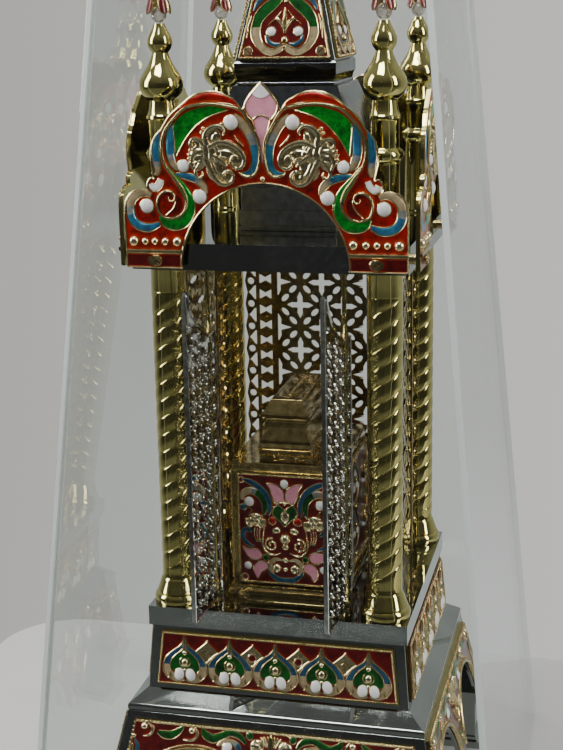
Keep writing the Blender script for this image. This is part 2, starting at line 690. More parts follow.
        # Chased acanthus: a swelling body, then its leaves and volutes
        lobes = ((29.6, 66, 8, 8.4, 2.2), (36.6, 63.4, 5, 8, 1.6), (21, 64.4, 8, 5.4, 1.8),
                 (26.4, 56.4, 6, 6.6, 1.7), (28.4, 75, 5.4, 5.6, 1.7), (14.6, 62, 4.8, 4.8, 1.3),
                 (20, 52.4, 4.2, 4.2, 1.3), (37.8, 70.4, 3.6, 3.4, 1.2))
        for x, y, rx, ry, h in lobes:
            a.dome(x, y, rx, "chased", floor, h, ry, levels=6, sides=24)

        def swell(x, y, z):
            """Lifts a point onto the swelling body."""
            lifts = [h * math.sqrt(max(0, 1 - ((x - cx) / rx) ** 2 - ((y - cy) / ry) ** 2))
                     for cx, cy, rx, ry, h in lobes]
            return x, y, z + floor + max(lifts)

        for points, base, rise in (
                ([(30, 68.6, 4), (24, 71.4, 4.2), (18, 70.6, 4), (12.8, 67.6, 3.6), (10, 63, 3.2),
                  (10.8, 58.8, 2.8), (14.2, 57.2, 2.6), (17.2, 59.4, 2.2), (17.1, 63, 2), (14.5, 64.4, 1.6),
                  (13.1, 62.3, 1.2)], 0.9, 1.9),
                ([(32, 62, 4.4), (29, 56, 4.4), (26, 50.6, 4), (21.6, 48.2, 3.2), (17.3, 50, 2.8),
                  (16.5, 53.8, 2.4), (19.2, 56, 2), (21.9, 54.4, 1.7), (21.1, 52.2, 1.3)], 0.7, 1.9),
                ([(28, 64.4, 3.6), (23, 61.6, 3.2), (19.4, 58.4, 1.2)], 1.5, 1.4),
                ([(31, 70, 4.6), (32, 75.4, 4.4), (28.6, 79.4, 3.8), (24, 80.4, 3), (21.1, 78, 2.2),
                  (21.7, 75.4, 1.4)], 0.8, 2.0),
                ([(32, 69, 4), (35.6, 72.6, 3.4), (39.2, 73.2, 2.8), (40.8, 70.4, 2.4), (38.8, 68.2, 2),
                  (37, 69.8, 1.6), (37.9, 71, 1)], 0.7, 1.7),
                ([(33, 66.4, 4.4), (38, 65, 4.4), (40.3, 60.8, 3.4), (39, 56.8, 2.4)], 0.7, 1.6),
                ([(35.4, 59.6, 3.2), (38.2, 55.4, 2.8), (36.6, 51.8, 2.2), (33.9, 53.2, 1.8),
                  (34.6, 55.4, 1.2)], 0.3, 1.7)):
            a.leaf(points, floor + base, rise, "chased", 0.3)
        for x, y in ((41.2, 67), (41.9, 64.6), (42.1, 62.2), (41.6, 59.8), (33.4, 79.2), (34.4, 76.8),
                     (22.6, 81.4)):
            a.dome(x, y, 1.2, "chased", floor, 1.2, levels=3, sides=8)
        a.leaf([(15.6, 75.4, 0.8), (13.6, 72.6, 1.5), (10.2, 69.4, 1)], floor, 1.3, "chased", groove=0)
        chasing = Relief()
        for points in ([(25.4, 66.4), (20, 67), (15, 65)], [(26.4, 63.6), (21, 63.2), (17.6, 61.4)],
                       [(27.4, 60.4), (25.4, 55.6), (22.6, 52)], [(30.4, 59.6), (28.6, 54.6), (25.4, 51.2)],
                       [(30.4, 71.6), (30.2, 75.8), (27.4, 78.6)], [(28, 71.4), (27.4, 75), (25, 76.8)],
                       [(33.2, 71.2), (33, 75), (31.4, 77.6)], [(34.6, 67.4), (38, 67.6), (40.6, 66.6)],
                       [(34.8, 64.4), (38.2, 64.2), (41, 63)], [(34.8, 61.4), (37.8, 60.6), (40.4, 59)],
                       [(26, 69.8), (23, 65.6), (24.6, 60.8)], [(28.4, 71), (25.8, 66), (27.2, 60)],
                       [(31, 71), (29.4, 66.2), (30.2, 60.4)], [(33.4, 69.6), (32.6, 66), (33, 61.4)]):
            chasing.wire(smooth(points), 0.5, 0.15, "chased", taper=True)
        a.join(chasing, swell)
        # Bud and stem
        a.fill([(0, 104), (4.5, 99), (8.4, 93.5), (8.7, 90.2), (7.4, 87), (5.2, 84.6), (3.2, 85.6),
                (0, 87)], "pink", floor, floor + 0.7)
        a.fill([(0, 86.2), (3.2, 84.6), (4.4, 83), (3, 78), (1.3, 72), (0.3, 62), (0, 60)],
               "pink", floor, floor + 0.6)
        a.wire(smooth([(0.4, 103.2), (4.7, 98.6), (8.6, 93.4), (9.1, 90), (7.8, 86.8), (5.2, 84),
                       (3.2, 85.2), (0, 86.6)]), 0.5, floor + 0.7)
        a.wire(smooth([(4.8, 83.4), (3.5, 78), (1.8, 72), (0.8, 62)]), 0.45, floor + 0.6)

    art.both(half)
    art.fill([(-5, 97.9), (-2.6, 96), (0, 95.5), (2.6, 96), (5, 97.9), (2.8, 100.6), (0, 103.3),
              (-2.8, 100.6)], "white", floor + 0.7, floor + 1.0)
    art.dome(0, 51.4, 1.7, "chased", floor + 0.4)
    return art.mesh("gable")


GABLE_MESH = gable()
GABLE_T, GABLE_LIFT = 3, 0.2
for side in SIDES:
    node = "gable_" + side
    half_out = max(abs(v) for v in (*low(node)[:2], *high(node)[:2])) - GABLE_T
    place(f"gable_art_{side}", GABLE_MESH,
          face_matrix(side, half_out, low(node).z + GABLE_LIFT), replaces=(node,))

# --- Frieze --------------------------------------------------------------------------------------


def heart(a, outer, inner, split, top, foot, base, bump_h=0.5):
    """An ogee heart: the band between the two half outlines changes colour at the height split."""
    out, inn = smooth(outer), smooth(inner)
    for side in (1, -1):
        shape = [(side * x, y) for x, y in out] + [(side * x, y) for x, y in inn[::-1]]
        upper = [(x, max(y, split)) for x, y in shape if y > split - 2.2]
        lower = [(x, min(y, split)) for x, y in shape if y < split + 2.2]
        for part, slot in ((upper, top), (lower, foot)):
            a.fill(part, slot, base, base + bump_h)
        a.wire([(side * x, y) for x, y in out], 0.42, base + bump_h)
        a.wire([(side * x, y) for x, y in inn], 0.36, base + bump_h)


HEART_PITCH = 28.3


def frieze():
    """Five ogee hearts in a row, with diamonds between them and screws in the outer two."""
    art = Relief()
    art.fill([(-75, 3), (75, 3), (71.6, 37.6), (-71.6, 37.6)], "gold", 0, 1.2)
    art.fill([(-73.6, 4), (73.6, 4), (70.4, 36.6), (-70.4, 36.6)], "crimson", 1.2, 1.7)
    floor = 1.7
    for number in range(-2, 3):
        one = Relief()
        heart(one, [(0.2, 35), (1.5, 31), (3.4, 28.4), (7.4, 25.4), (11.2, 21.8), (13.5, 17.6), (13.8, 13.6),
                    (12.4, 9.8), (9.6, 7), (6, 5.6), (2.4, 5.8), (0.3, 7)],
              [(0.2, 28), (2.4, 25.6), (5.8, 22.8), (8.4, 19.6), (9.4, 16.4), (8.9, 13.6), (7.2, 11.6),
               (5, 11.2)], 16.4, "navy", "beige", floor)
        one.fill(smooth([(0, 27.4), (2.6, 24.8), (6, 21.8), (8.4, 18.6), (9, 15.6), (7.6, 13), (0, 12.4),
                         (-7.6, 13), (-9, 15.6), (-8.4, 18.6), (-6, 21.8), (-2.6, 24.8)], closed=True),
                 "forest", floor, floor + 0.3)
        for side in (1, -1):
            one.stud(side * 3.6, 10.6, 3.1, floor + 0.5, ry=4.1, turn=side * 12, rim=0.3)
            one.wire(smooth([(side * 0.8, 15.4), (side * 2.8, 17), (side * 3.2, 19.6), (side * 1.8, 21.2)]),
                     0.45, floor + 0.5)
            one.leaf([(side * 10.8, 7.6, 0.8), (side * 9.4, 9.2, 1.6), (side * 9.6, 11.6, 0.7)],
                     floor + 0.4, 0.8, groove=0)
        one.leaf([(0, 34.8, 0.6), (0, 31, 2.6), (0, 27, 3.6), (0, 24.4, 1.4)], floor + 0.5, 1.2, "chased")
        one.dome(0, 24.4, 1.7, "chased", floor + 0.5)
        one.dome(0, 18.2, 2.3, "chased", floor + 0.3, 1.9, 2.8)
        one.dome(0, 13.6, 1.1, "chased", floor + 0.5)
        art.join(one, lambda x, y, z, shift=number * HEART_PITCH: (x + shift, y, z))
    for x in [HEART_PITCH * k for k in (-1.5, -0.5, 0.5, 1.5)]:
        diamond = [(x, 18.6), (x + 1.6, 21.4), (x + 4, 24), (x + 6.9, 26.2), (x + 3.4, 29.2), (x, 32.4),
                   (x - 3.4, 29.2), (x - 6.9, 26.2), (x - 4, 24), (x - 1.6, 21.4)]
        art.fill(diamond, "chased", floor, floor + 0.8)
        art.wire(diamond, 0.5, floor + 0.8, closed=True)
        art.dome(x, 32.6, 0.9, "chased", floor)
        if abs(x) > HEART_PITCH:
            art.screw(x, 24.6, 2.2, floor + 0.9, 20)
        else:
            art.dome(x, 24.8, 2.2, "crimson", floor + 0.8, 0.5)
            art.wire(arc(x, 24.8, 2.6, 0, 360, 18)[:-1], 0.5, floor + 1, "chased", closed=True)
        art.dome(x, 19.4, 1.1, "chased", floor + 0.4)
    for a, b in looped([(-73.4, 4.4), (73.4, 4.4), (70.2, 36.2), (-70.2, 36.2)]):
        art.rope([a, b], 0.8, floor + 0.2, 1.8)
    return art.mesh("frieze")


on_sides("frieze_art", "frieze_panel", frieze(), high("frieze_tier").x, low("frieze_tier").z,
         lean_of(3.1, 40.5))

# --- Arcaded skirt -------------------------------------------------------------------------------


def skirt():
    """Two arches with a pendant between them, under scrolls and acanthus."""
    art = Relief()
    top, foot, arch_x, arch_r = 51.2, -2.5, 46, 39.6
    right = arc(arch_x, foot, arch_r, 0, 180, 30)
    left = arc(-arch_x, foot, arch_r, 0, 180, 30)
    outline = ([(-97, foot), (-85.6, foot)] + left[::-1][1:-1]
               + [(-6.4, foot), (-6.4, 1), (6.4, 1), (6.4, foot)] + right[::-1][1:-1]
               + [(85.6, foot), (97, foot), (85.8, top), (-85.8, top)])
    art.fill(outline, "gold", 0, 1.2)
    art.fill(inset(outline, 0.6), "crimson", 1.2, 1.6)
    floor = 1.6

    def half(a):
        a.leaf([(x, y, 2.6) for x, y in arc(arch_x, foot, arch_r - 1, 3, 177, 30)], floor - 0.4, 1.6)
        a.rope(arc(arch_x, foot, arch_r + 1.4, 4, 176, 30), 0.8, floor, 2.4)
        for x, y, r in ((79.4, 47.2, 2.4), (49.3, 47.2, 2.3)):
            a.dome(x, y, r, "chased", floor)
        a.leaf([(77.2, 49.6, 0.8), (73.8, 46.6, 1.8), (75.4, 42.4, 1.8), (79.6, 41, 1)], floor, 1.4, "chased")
        a.leaf([(47.6, 49.6, 0.8), (45.6, 45.6, 1.8), (48.6, 41.4, 2), (54.6, 41.2, 1)], floor, 1.4, "chased")
        a.edged([(70.6, 44.4, 2), (67, 43, 4.6), (62, 43.2, 5), (57.6, 46, 3.6), (54.6, 49.2, 0.8)],
                "forest", floor, 0.9)
        a.edged([(42.6, 49.6, 0.8), (41, 45.8, 4.6), (36.4, 43.4, 5.2), (31, 45.4, 4.4), (25.4, 47.8, 3.8),
                 (19.4, 46.4, 3.6), (15.8, 42.4, 1.4)], "forest", floor, 0.9)
        a.stud(13.2, 47.4, 2.1, floor, "forest", ry=2.5)
        a.edged([(33, 39.6, 0.8), (29.4, 42, 3), (24.4, 42.4, 3.4), (20.6, 40.4, 3.6), (19, 35.4, 3),
                 (19.6, 31.4, 0.8)], ("beige", "navy"), floor, 0.7, switch=0.5)
        a.stud(27, 39, 2.8, floor + 0.4, ry=3.6, turn=40)
        a.dome(8.6, 41.4, 4.6, "chased", floor, 2.2, levels=6, sides=24)
        for k in range(4):
            a.leaf([(5 + k * 0.6, 40.4 + k, 0.8), (8.6 + k * 0.5, 38.6 + 2.2 * k, 1.5),
                    (12.4 - k * 0.8, 38.8 + 2 * k, 0.7)], floor + 1.2, 1.0, "chased", groove=0)
        for k in (1, 2, 3):
            a.leaf([(0.9 * k, 42, 0.8), (1.8 * k, 46, 1.7), (2.1 * k, 49.4 - 0.5 * k, 0.8)], floor + 0.4,
                   1.4, "chased", groove=0)
        a.leaf([(0.6, 36, 1.6), (5, 33, 2.4), (4.4, 26, 2), (1.6, 22, 1)], floor, 1.5)
        a.leaf([(86.5, 36, 1), (87.6, 30, 3), (89.4, 22, 3), (91.6, 12, 2.4), (92.8, 4, 1)], floor, 1.3)
        a.edged([(85.6, 38.6, 0.8), (83.4, 33.4, 3), (86, 26, 2.8), (88.6, 18, 1)], ("navy", "beige"),
                floor, 0.7, switch=0.5)
        a.edged([(3.4, 17, 0.8), (2.6, 12, 2.4), (3.8, 5, 2), (4.6, 2.4, 0.8)], ("forest", "forest"), floor,
                0.7)
        for x, y, r in ((86, 40.6, 1.6), (91, 8, 1.5)):
            a.dome(x, y, r, "gilt", floor)

    art.both(half)
    art.leaf([(0, 50, 0.8), (0, 45, 4), (0, 38, 4.4), (0, 32, 2)], floor, 2.2)
    for y, r in ((28, 2), (20.6, 1.7), (9, 1.8)):
        art.dome(0, y, r, "gilt", floor)
    art.rope([(-84.6, 50), (84.6, 50)], 1.0, floor + 0.2, 2.5)
    for side in (1, -1):
        art.rope([(side * 96, -1.5), (side * 85.2, 50)], 1.0, floor, 2.5)
    return art.mesh("skirt")


on_sides("skirt_art", "base_panel", skirt(), high("base_skirt").x, low("base_skirt").z, lean_of(12, 54))

# --- Pedestal panels -----------------------------------------------------------------------------


def pedestal_front():
    """Tulips, scrolls and leaves in a mirrored bunch, inside a rope border."""
    art = Relief()
    art.fill([(-30, 0), (30, 0), (30, 71), (-30, 71)], "gold", 0, 0.8)
    art.fill([(-29.2, 0.8), (29.2, 0.8), (29.2, 70.2), (-29.2, 70.2)], "crimson", 0.8, 1.1)
    floor, drop = 1.1, 7.5          # the drawing is measured from the foot of the pedestal

    def at(points):
        return [(p[0], p[1] - drop, *p[2:]) for p in points]

    def half(a):
        tulip = smooth(at([(0.5, 66.6), (0.5, 63), (1.6, 61), (4.2, 60.4), (6.6, 61.8), (8, 65.2), (9, 69),
                           (11.2, 72.7), (7, 72.6), (3.4, 71), (1.5, 69)]), closed=True, steps=3)
        a.fill(tulip, "pink", floor, floor + 0.6)
        a.wire(tulip, 0.4, floor + 0.6, closed=True)
        a.fill(smooth(at([(0, 45.6), (3, 49), (6.4, 52), (7.2, 55.4), (5.4, 58), (2.6, 57.8), (0, 55.6)])),
               "forest", floor, floor + 0.5)
        a.wire(smooth(at([(0.2, 45.4), (3.2, 48.8), (6.8, 51.8), (7.6, 55.4), (5.6, 58.5), (2.4, 58.2),
                          (0.4, 55.8)])), 0.5, floor + 0.5)
        a.leaf(at([(0.8, 60.4, 0.7), (2.6, 61, 1.4), (5, 59.8, 1.2), (6.4, 61, 0.6)]), floor + 0.5, 1.0,
               "chased", groove=0)
        a.edged(at([(26.4, 74.4, 0.8), (22, 73, 3.2), (17.6, 70.8, 3.8), (13, 66.8, 3.8), (10, 61.4, 3.4),
                    (9.4, 56, 2.4), (10.4, 52, 0.8)]), "navy", floor, 0.8)
        a.edged(at([(27, 61.2, 1.4), (25.8, 65.2, 3.8), (21.6, 67.2, 4.8), (16.8, 66, 5), (13.2, 62, 4.6),
                    (12.4, 57, 3.6), (13.4, 52.2, 1.2)]), ("beige", "forest"), floor, 0.8, switch=0.42)
        a.stud(22.2, 60.4 - drop, 3, floor + 0.3)
        a.stud(26, 56.6 - drop, 2.1, floor, "navy")
        a.wire(smooth(at([(22.6, 56.6), (20.6, 54.4), (22.4, 53)])), 0.45, floor + 0.2)
        a.stud(8, 48.6 - drop, 2.4, floor, "red", rim=0.6)
        for x, y, rx, ry in ((21.6, 47.8, 3.2, 3), (14.4, 47, 3, 3.2), (18, 50.4, 3.6, 2.4),
                             (17.8, 47.4, 2.6, 3.4)):
            a.dome(x, y - drop, rx, "chased", floor, 2.0, ry, levels=5, sides=20)
        for points in ([(24.4, 50, 0.8), (23.4, 46, 1.6), (20.6, 44.8, 1.3), (19.4, 47, 0.8)],
                       [(12, 50, 0.8), (12.4, 46, 1.6), (15, 44.4, 1.3), (16.6, 46.6, 0.8)],
                       [(22.6, 52, 0.8), (18, 52.8, 1.6), (13.4, 51.6, 0.8)],
                       [(18, 51.4, 0.8), (18, 48.4, 1.3), (18, 44.6, 0.7)]):
            a.leaf(at(points), floor + 1.2, 1.2, "chased", groove=0)
        a.leaf(at([(13, 44.4, 1.4), (13.8, 38.6, 1.5), (14.2, 33.6, 1.7), (12, 28.6, 1.8), (7.4, 27, 1.7),
                   (2.8, 28.8, 0.8)]), floor, 1.5, "chased", groove=0)
        for k in (-1.6, 0, 1.6):
            a.wire(smooth(at([(17.4 + k, 43.4), (17.8 + k, 39.4), (16.8 + k * 0.7, 34.6)])), 0.45,
                   floor + 0.3, "chased")
        a.edged(at([(21.4, 40.2, 1), (23.4, 42.4, 2.6), (26.2, 40.8, 3.2), (26.6, 36.8, 3), (24, 33.2, 2.6),
                    (19.6, 31.2, 0.8)]), "navy", floor, 0.8)
        for ring in ([(26.9, 31.4), (23, 30), (17.8, 30.2), (14.8, 27.2), (15.8, 23.9), (19.7, 22.9),
                      (23.6, 24.8), (25.8, 28)],
                     [(17.4, 21.8), (13.8, 22.5), (10.9, 20.4), (12, 17.4), (15.2, 14.8), (17.6, 10.9),
                      (20, 14.6), (20.2, 18.4)]):
            loop = smooth(at(ring), closed=True, steps=4)
            a.fill(loop, "pink", floor, floor + 0.6)
            a.wire(loop, 0.4, floor + 0.6, closed=True)
        a.stud(23.8, 18.9 - drop, 2.4, floor + 0.2)
        a.stud(12.4, 24.8 - drop, 1.9, floor, "forest")
        a.leaf([(x, y, 1.6) for x, y in spiral(8.6, 33.4 - drop, 4.4, 1.0, 100, -1.4)], floor, 1.4,
               "chased", groove=0)
        a.dome(5.6, 42.6 - drop, 3, "chased", floor, 1.8, 2.3, -14)
        a.edged(at([(2, 23.4, 0.8), (6.2, 24, 2.4), (9.8, 20.8, 3.2), (9.6, 16.4, 2.6), (7.6, 14.4, 0.8)]),
                "beige", floor, 0.7)
        a.dome(5.6, 18.2 - drop, 3.1, "chased", floor, 2.2)
        a.edged(at([(0, 10.6, 3), (5, 11, 3.4), (9, 14.2, 2.6), (10.4, 17, 0.8)]), "navy", floor, 0.8)
        a.wire(arc(25.8, 11.4 - drop, 2, 0, 360, 16)[:-1], 0.5, floor + 0.2, "chased", closed=True)
        a.wire(arc(27, 74 - drop, 1.8, 0, 360, 16)[:-1], 0.5, floor + 0.2, "chased", closed=True)

    art.both(half)
    art.stud(0, 72.6 - drop, 2.5, floor + 0.4, ry=2.9)
    art.dome(0, 60.4 - drop, 1.5, "chased", floor + 0.6)
    art.dome(0, 51.6 - drop, 2.9, "chased", floor + 0.5, 1.6, 4.2)
    for y, r in ((37.6, 3.7), (32.4, 2.4), (23.8, 2), (17.8, 1.6)):
        art.dome(0, y - drop, r, "chased", floor)
    for a, b in looped([(-29, 1), (29, 1), (29, 70), (-29, 70)]):
        art.rope([a, b], 0.85, floor, 2.1)
    return art.mesh("pedestal_front")


PEDESTAL_FRONT = pedestal_front()
PANEL_FOOT = low("pedestal_panel_front").z
place("pedestal_art_front", PEDESTAL_FRONT,
      face_matrix("front", -high("pedestal_panel_front").y, PANEL_FOOT), replaces=("pedestal_panel_front",))


def pedestal_side(width):
    """The unseen sides carry two stacked hearts in plain scrollwork."""
    art = Relief()
    w = width / 2
    art.fill([(-w, 0), (w, 0), (w, 71), (-w, 71)], "gold", 0, 0.8)
    art.fill([(-w + 0.8, 0.8), (w - 0.8, 0.8), (w - 0.8, 70.2), (-w + 0.8, 70.2)], "crimson", 0.8, 1.1)
    floor = 1.1

    def half(a):
        a.edged([(1, 64, 0.8), (9, 58, 3.4), (12.4, 49, 4), (8, 41.6, 3.4), (1, 40, 1)],
                ("forest", "beige"), floor, 0.8, switch=0.55)
        a.edged([(1, 34, 0.8), (9, 28, 3.4), (12, 19, 4), (8, 11.6, 3.4), (1, 10, 1)],
                ("navy", "beige"), floor, 0.8, switch=0.55)
        a.stud(5, 50, 2.6, floor)
        a.stud(5, 20, 2.6, floor)
        a.leaf([(x, y, 1.9) for x, y in spiral(w - 9, 52, 6.4, 1.4, 200, 1.7)], floor, 1.5, groove=0)
        a.leaf([(x, y, 1.9) for x, y in spiral(w - 9, 20, 6.4, 1.4, 160, -1.7)], floor, 1.5, groove=0)
        a.edged([(w - 3, 66, 0.8), (w - 8, 63, 3), (w - 14, 65, 0.8)], "navy", floor, 0.7)
        a.edged([(w - 3, 36, 1), (w - 8, 33, 3), (w - 13, 36, 2.4), (w - 8, 39, 1)], "forest", floor, 0.7)
        a.dome(w - 5, 6, 1.7, "gilt", floor)

    art.both(half)
    for y, r in ((66.6, 1.8), (55, 2.2), (37, 2.4), (25, 2.2), (5.4, 2)):
        art.dome(0, y, r, "gilt", floor)
    for a, b in looped([(-w + 1, 1), (w - 1, 1), (w - 1, 70), (-w + 1, 70)]):
        art.rope([a, b], 0.85, floor, 2.1)
    return art


def pedestal_sides():
    """One mesh for both flanks and the back."""
    whole = Relief()
    middle = (low("pedestal_box").y + high("pedestal_box").y) / 2
    for side, width, reach in (("right", 84, high("pedestal_side_panels").x),
                               ("left", 84, high("pedestal_side_panels").x),
                               ("back", 60, high("pedestal_side_panels").y - middle)):
        part = pedestal_side(width)
        turn = face_matrix(side, reach - 0.8, PANEL_FOOT)
        lift = Matrix.Translation((0, middle * MM, 0)) @ turn
        whole.join(part, lambda *v, lift=lift: (lift @ (Vector(v) * MM)) / MM)
    return whole.mesh("pedestal_sides")


place("pedestal_art_sides", pedestal_sides(), replaces=("pedestal_side_panels",))

# --- Spire ---------------------------------------------------------------------------------------

SPIRE_HALF, SPIRE_TOP_HALF = high("spire_body").x, 6.0
SPIRE_FOOT = low("spire_body").z
SPIRE_H = high("spire_body").z - SPIRE_FOOT
SPIRE_LEAN = lean_of(SPIRE_HALF - SPIRE_TOP_HALF, SPIRE_H)
SPIRE_SLOPE = SPIRE_H / math.cos(math.radians(SPIRE_LEAN))


def spire_edge(s, margin):
    """Half width of the spire face at the height s up the slope, less a margin."""
    return SPIRE_HALF + (SPIRE_TOP_HALF - SPIRE_HALF) * s / SPIRE_SLOPE - margin


def spire():
    """A large heart at the foot of the face, with a smaller heart and buds above."""
    art = Relief()
    end = SPIRE_SLOPE - 5
    for margin, slot, z0, z1 in ((2.4, "gold", 0, 1.1), (3.2, "crimson", 1.1, 1.5)):
        w, u = spire_edge(0.6, margin), spire_edge(end, margin)
        art.fill([(-w, margin / 3), (w, margin / 3), (u, end), (-u, end)], slot, z0, z1)
    floor = 1.5
    heart(art, [(0.3, 44), (3, 41), (8.7, 35.4), (13.7, 31.5), (17.7, 26.5), (19.5, 20.8), (20, 15.5),
                (18.6, 10.8), (15, 6), (10.7, 3.2), (6.5, 2.6), (2, 4.4), (0.3, 6.6)],
          [(0.3, 36), (1.7, 34.3), (5, 30.3), (9.9, 26), (13.5, 21.7), (14.5, 17.7), (14.2, 14.2),
           (12.7, 10), (8.9, 6.8), (5.9, 6.6), (2.4, 8.4), (0.3, 9.6)], 19, "forest", "beige", floor)

    def half(a):
        a.stud(8, 16.5, 2.7, floor, rim=0.5)
        a.edged([(11, 14.4, 1), (9.5, 10.9, 2.2), (6, 8.9, 2.4), (2.6, 9.4, 1)], "navy", floor, 0.8)
        a.leaf([(0.6, 18, 1.4), (2.8, 22, 2.2), (5.6, 24.6, 1)], floor, 1.4)
        a.leaf([(2, 28.4, 0.8), (5, 24.4, 1.4), (9.6, 20.6, 0.8)], floor, 1.1, groove=0)
        a.screw(21.6, 5.2, 2.5, floor, 40)
        a.edged([(10.4, 39.6, 0.8), (12.8, 36.8, 3), (16.4, 33.4, 2.6), (18.8, 28.6, 0.8)], "navy", floor,
                0.8)
        a.leaf([(19.8, 26, 0.8), (21.4, 20, 1.8), (22.6, 12.6, 0.8)], floor, 1.1, groove=0)
        # A smaller heart and a bud fill the narrowing face above
        a.edged([(0.8, 72, 0.8), (5, 67.6, 2.6), (8.6, 60.6, 3), (6.6, 53.6, 2.8), (1.2, 52, 1)],
                ("navy", "beige"), floor, 0.8, switch=0.55)
        a.stud(3.4, 58.8, 2, floor)
        a.edged([(13.6, 46.4, 0.8), (9.8, 47.4, 2.4), (6, 45.4, 0.8)], "forest", floor, 0.7)
        a.leaf([(0.5, 60, 1), (2, 64.6, 1.6), (0.8, 69, 0.8)], floor, 1.1, groove=0)
        a.edged([(0.7, 93, 0.6), (3.6, 88.6, 1.9), (4.6, 82.6, 2), (1, 77.6, 0.8)], "forest", floor, 0.7)
        low_edge, top_edge = spire_edge(1.6, 2.8), spire_edge(end - 1, 2.8)
        a.rope([(low_edge, 1.6), (top_edge, end - 1)], 0.95, floor, 2.3)

    art.both(half)
    art.leaf([(0, 15, 1), (0, 20, 4.4), (0, 26, 2.2), (0, 30, 0.8)], floor, 1.6)
    for y, r in ((11.6, 2.3), (7.6, 1.2), (33.6, 1.2), (48, 1.7), (75, 1.5), (84.6, 1.3), (98, 1.4)):
        art.dome(0, y, r, "gilt", floor)
    art.rope([(-26.4, 1.4), (26.4, 1.4)], 0.9, floor, 2.2)
    return art.mesh("spire")


on_sides("spire_art", "spire_panel", spire(), SPIRE_HALF, SPIRE_FOOT, SPIRE_LEAN)

# --- Columns and finials -------------------------------------------------------------------------


def column():
    """A twisted column: three strands overlap like shingles between a bell foot and a collar."""
    art = Relief()
    height = high("column_front_left").z - DECK
    start, stop, lead, strands, depth = 22.0, height - 15, 31.8, 3, 0.8
    r = FOOT_R
    foot = ([(r - 1, 0), (r - 0.3, 1), (r - 0.1, 3), (r - 0.5, 4.8), (r - 1.3, 6), (r - 2, 6.3),
             (r - 2.1, 6.9)]
            + smooth([(r - 1.9, 7.2), (r - 2.6, 9.2), (r - 3.7, 12.4), (r - 4.6, 15.2)], steps=3)
            + [(10.1, 15.6), (9.9, 16.2), (9.9, 20)])
    collar = [(COLLAR_R - 0.2, stop + 0.3), (COLLAR_R - 0.1, stop + 1), (COLLAR_R - 0.2, height - 3),
              (COLLAR_R, height - 2.2), (COLLAR_R, height)]
    steps = 150
    shaft = [(10 + 0.4 * i / steps, start + (stop - start) * i / steps) for i in range(steps + 1)]
    # How far the surface of a strand lies inside the shaft, from its upper to its lower edge
    dips = [(0, 1.0), (0.02, 0.72), (0.06, 0.48), (0.12, 0.32), (0.2, 0.2), (0.32, 0.09), (0.45, 0.02),
            (0.58, 0), (0.7, 0.04), (0.82, 0.13), (0.92, 0.26), (0.97, 0.38), (0.99, 0.5)]
    verts = []
    profile = foot + shaft + collar
    for r, z in profile:
        twist = 2 * math.pi * (min(max(z, start), stop) - start) / lead
        fade = min(1, max(0, (z - start) / 5), max(0, (stop - z) / 5))
        for number in range(strands):
            for share, dip in dips:
                a = 2 * math.pi * (number + share) / strands + twist
                rr = r - depth * fade * dip
                verts.append((rr * math.cos(a), rr * math.sin(a), z))
    count, n = len(profile), strands * len(dips)
    art.add(verts, rings(count, n) + caps(count, n), "gold")
    return art.mesh("column", 28)


COLUMN_MESH = column()
for name, (sx, sy) in CORNERS.items():
    spin = math.pi / 2 * list(CORNERS).index(name)
    place(f"column_turned_{name}", COLUMN_MESH,
          Matrix.Translation((sx * CORNER * MM, sy * CORNER * MM, DECK * MM)) @ Matrix.Rotation(spin, 4, "Z"),
          replaces=("column_" + name,))

FINIAL = ([(9, 0), (9, 1.2), (8.6, 1.8), (8.5, 2.4), (8.5, 44), (8.7, 45.6), (9.2, 46.6), (10.2, 47.4),
           (10.6, 48.6), (10.6, 50.4), (10, 51.8), (8.6, 53), (8.2, 53.6), (8.2, 68.4), (8.5, 69),
           (9, 69.6), (9, 71.2), (8.6, 71.8)]
          + smooth([(8.6, 71.8), (7.9, 73.4), (7.4, 76), (7.05, 79.4)], steps=3)
          + smooth([(7.2, 79.7), (10.2, 82), (12.1, 85.2), (12.6, 88.4), (12, 91.6), (10.2, 95), (7.6, 99),
                    (5.7, 102.8), (4.6, 106)], steps=3)
          + smooth([(4.7, 106.3), (6, 108), (6.9, 110), (7.15, 112.2), (6.6, 114.8), (5, 118),
                    (3.6, 120.8), (3.1, 122.3)], steps=3))
FINIAL_MESH = lathe(FINIAL, "gold").mesh("finial", 30)
for name, (sx, sy) in CORNERS.items():
    place(f"finial_turned_{name}", FINIAL_MESH,
          Matrix.Translation((sx * CORNER * MM, sy * CORNER * MM, CANOPY_TOP * MM)),
          replaces=("finial_" + name,))


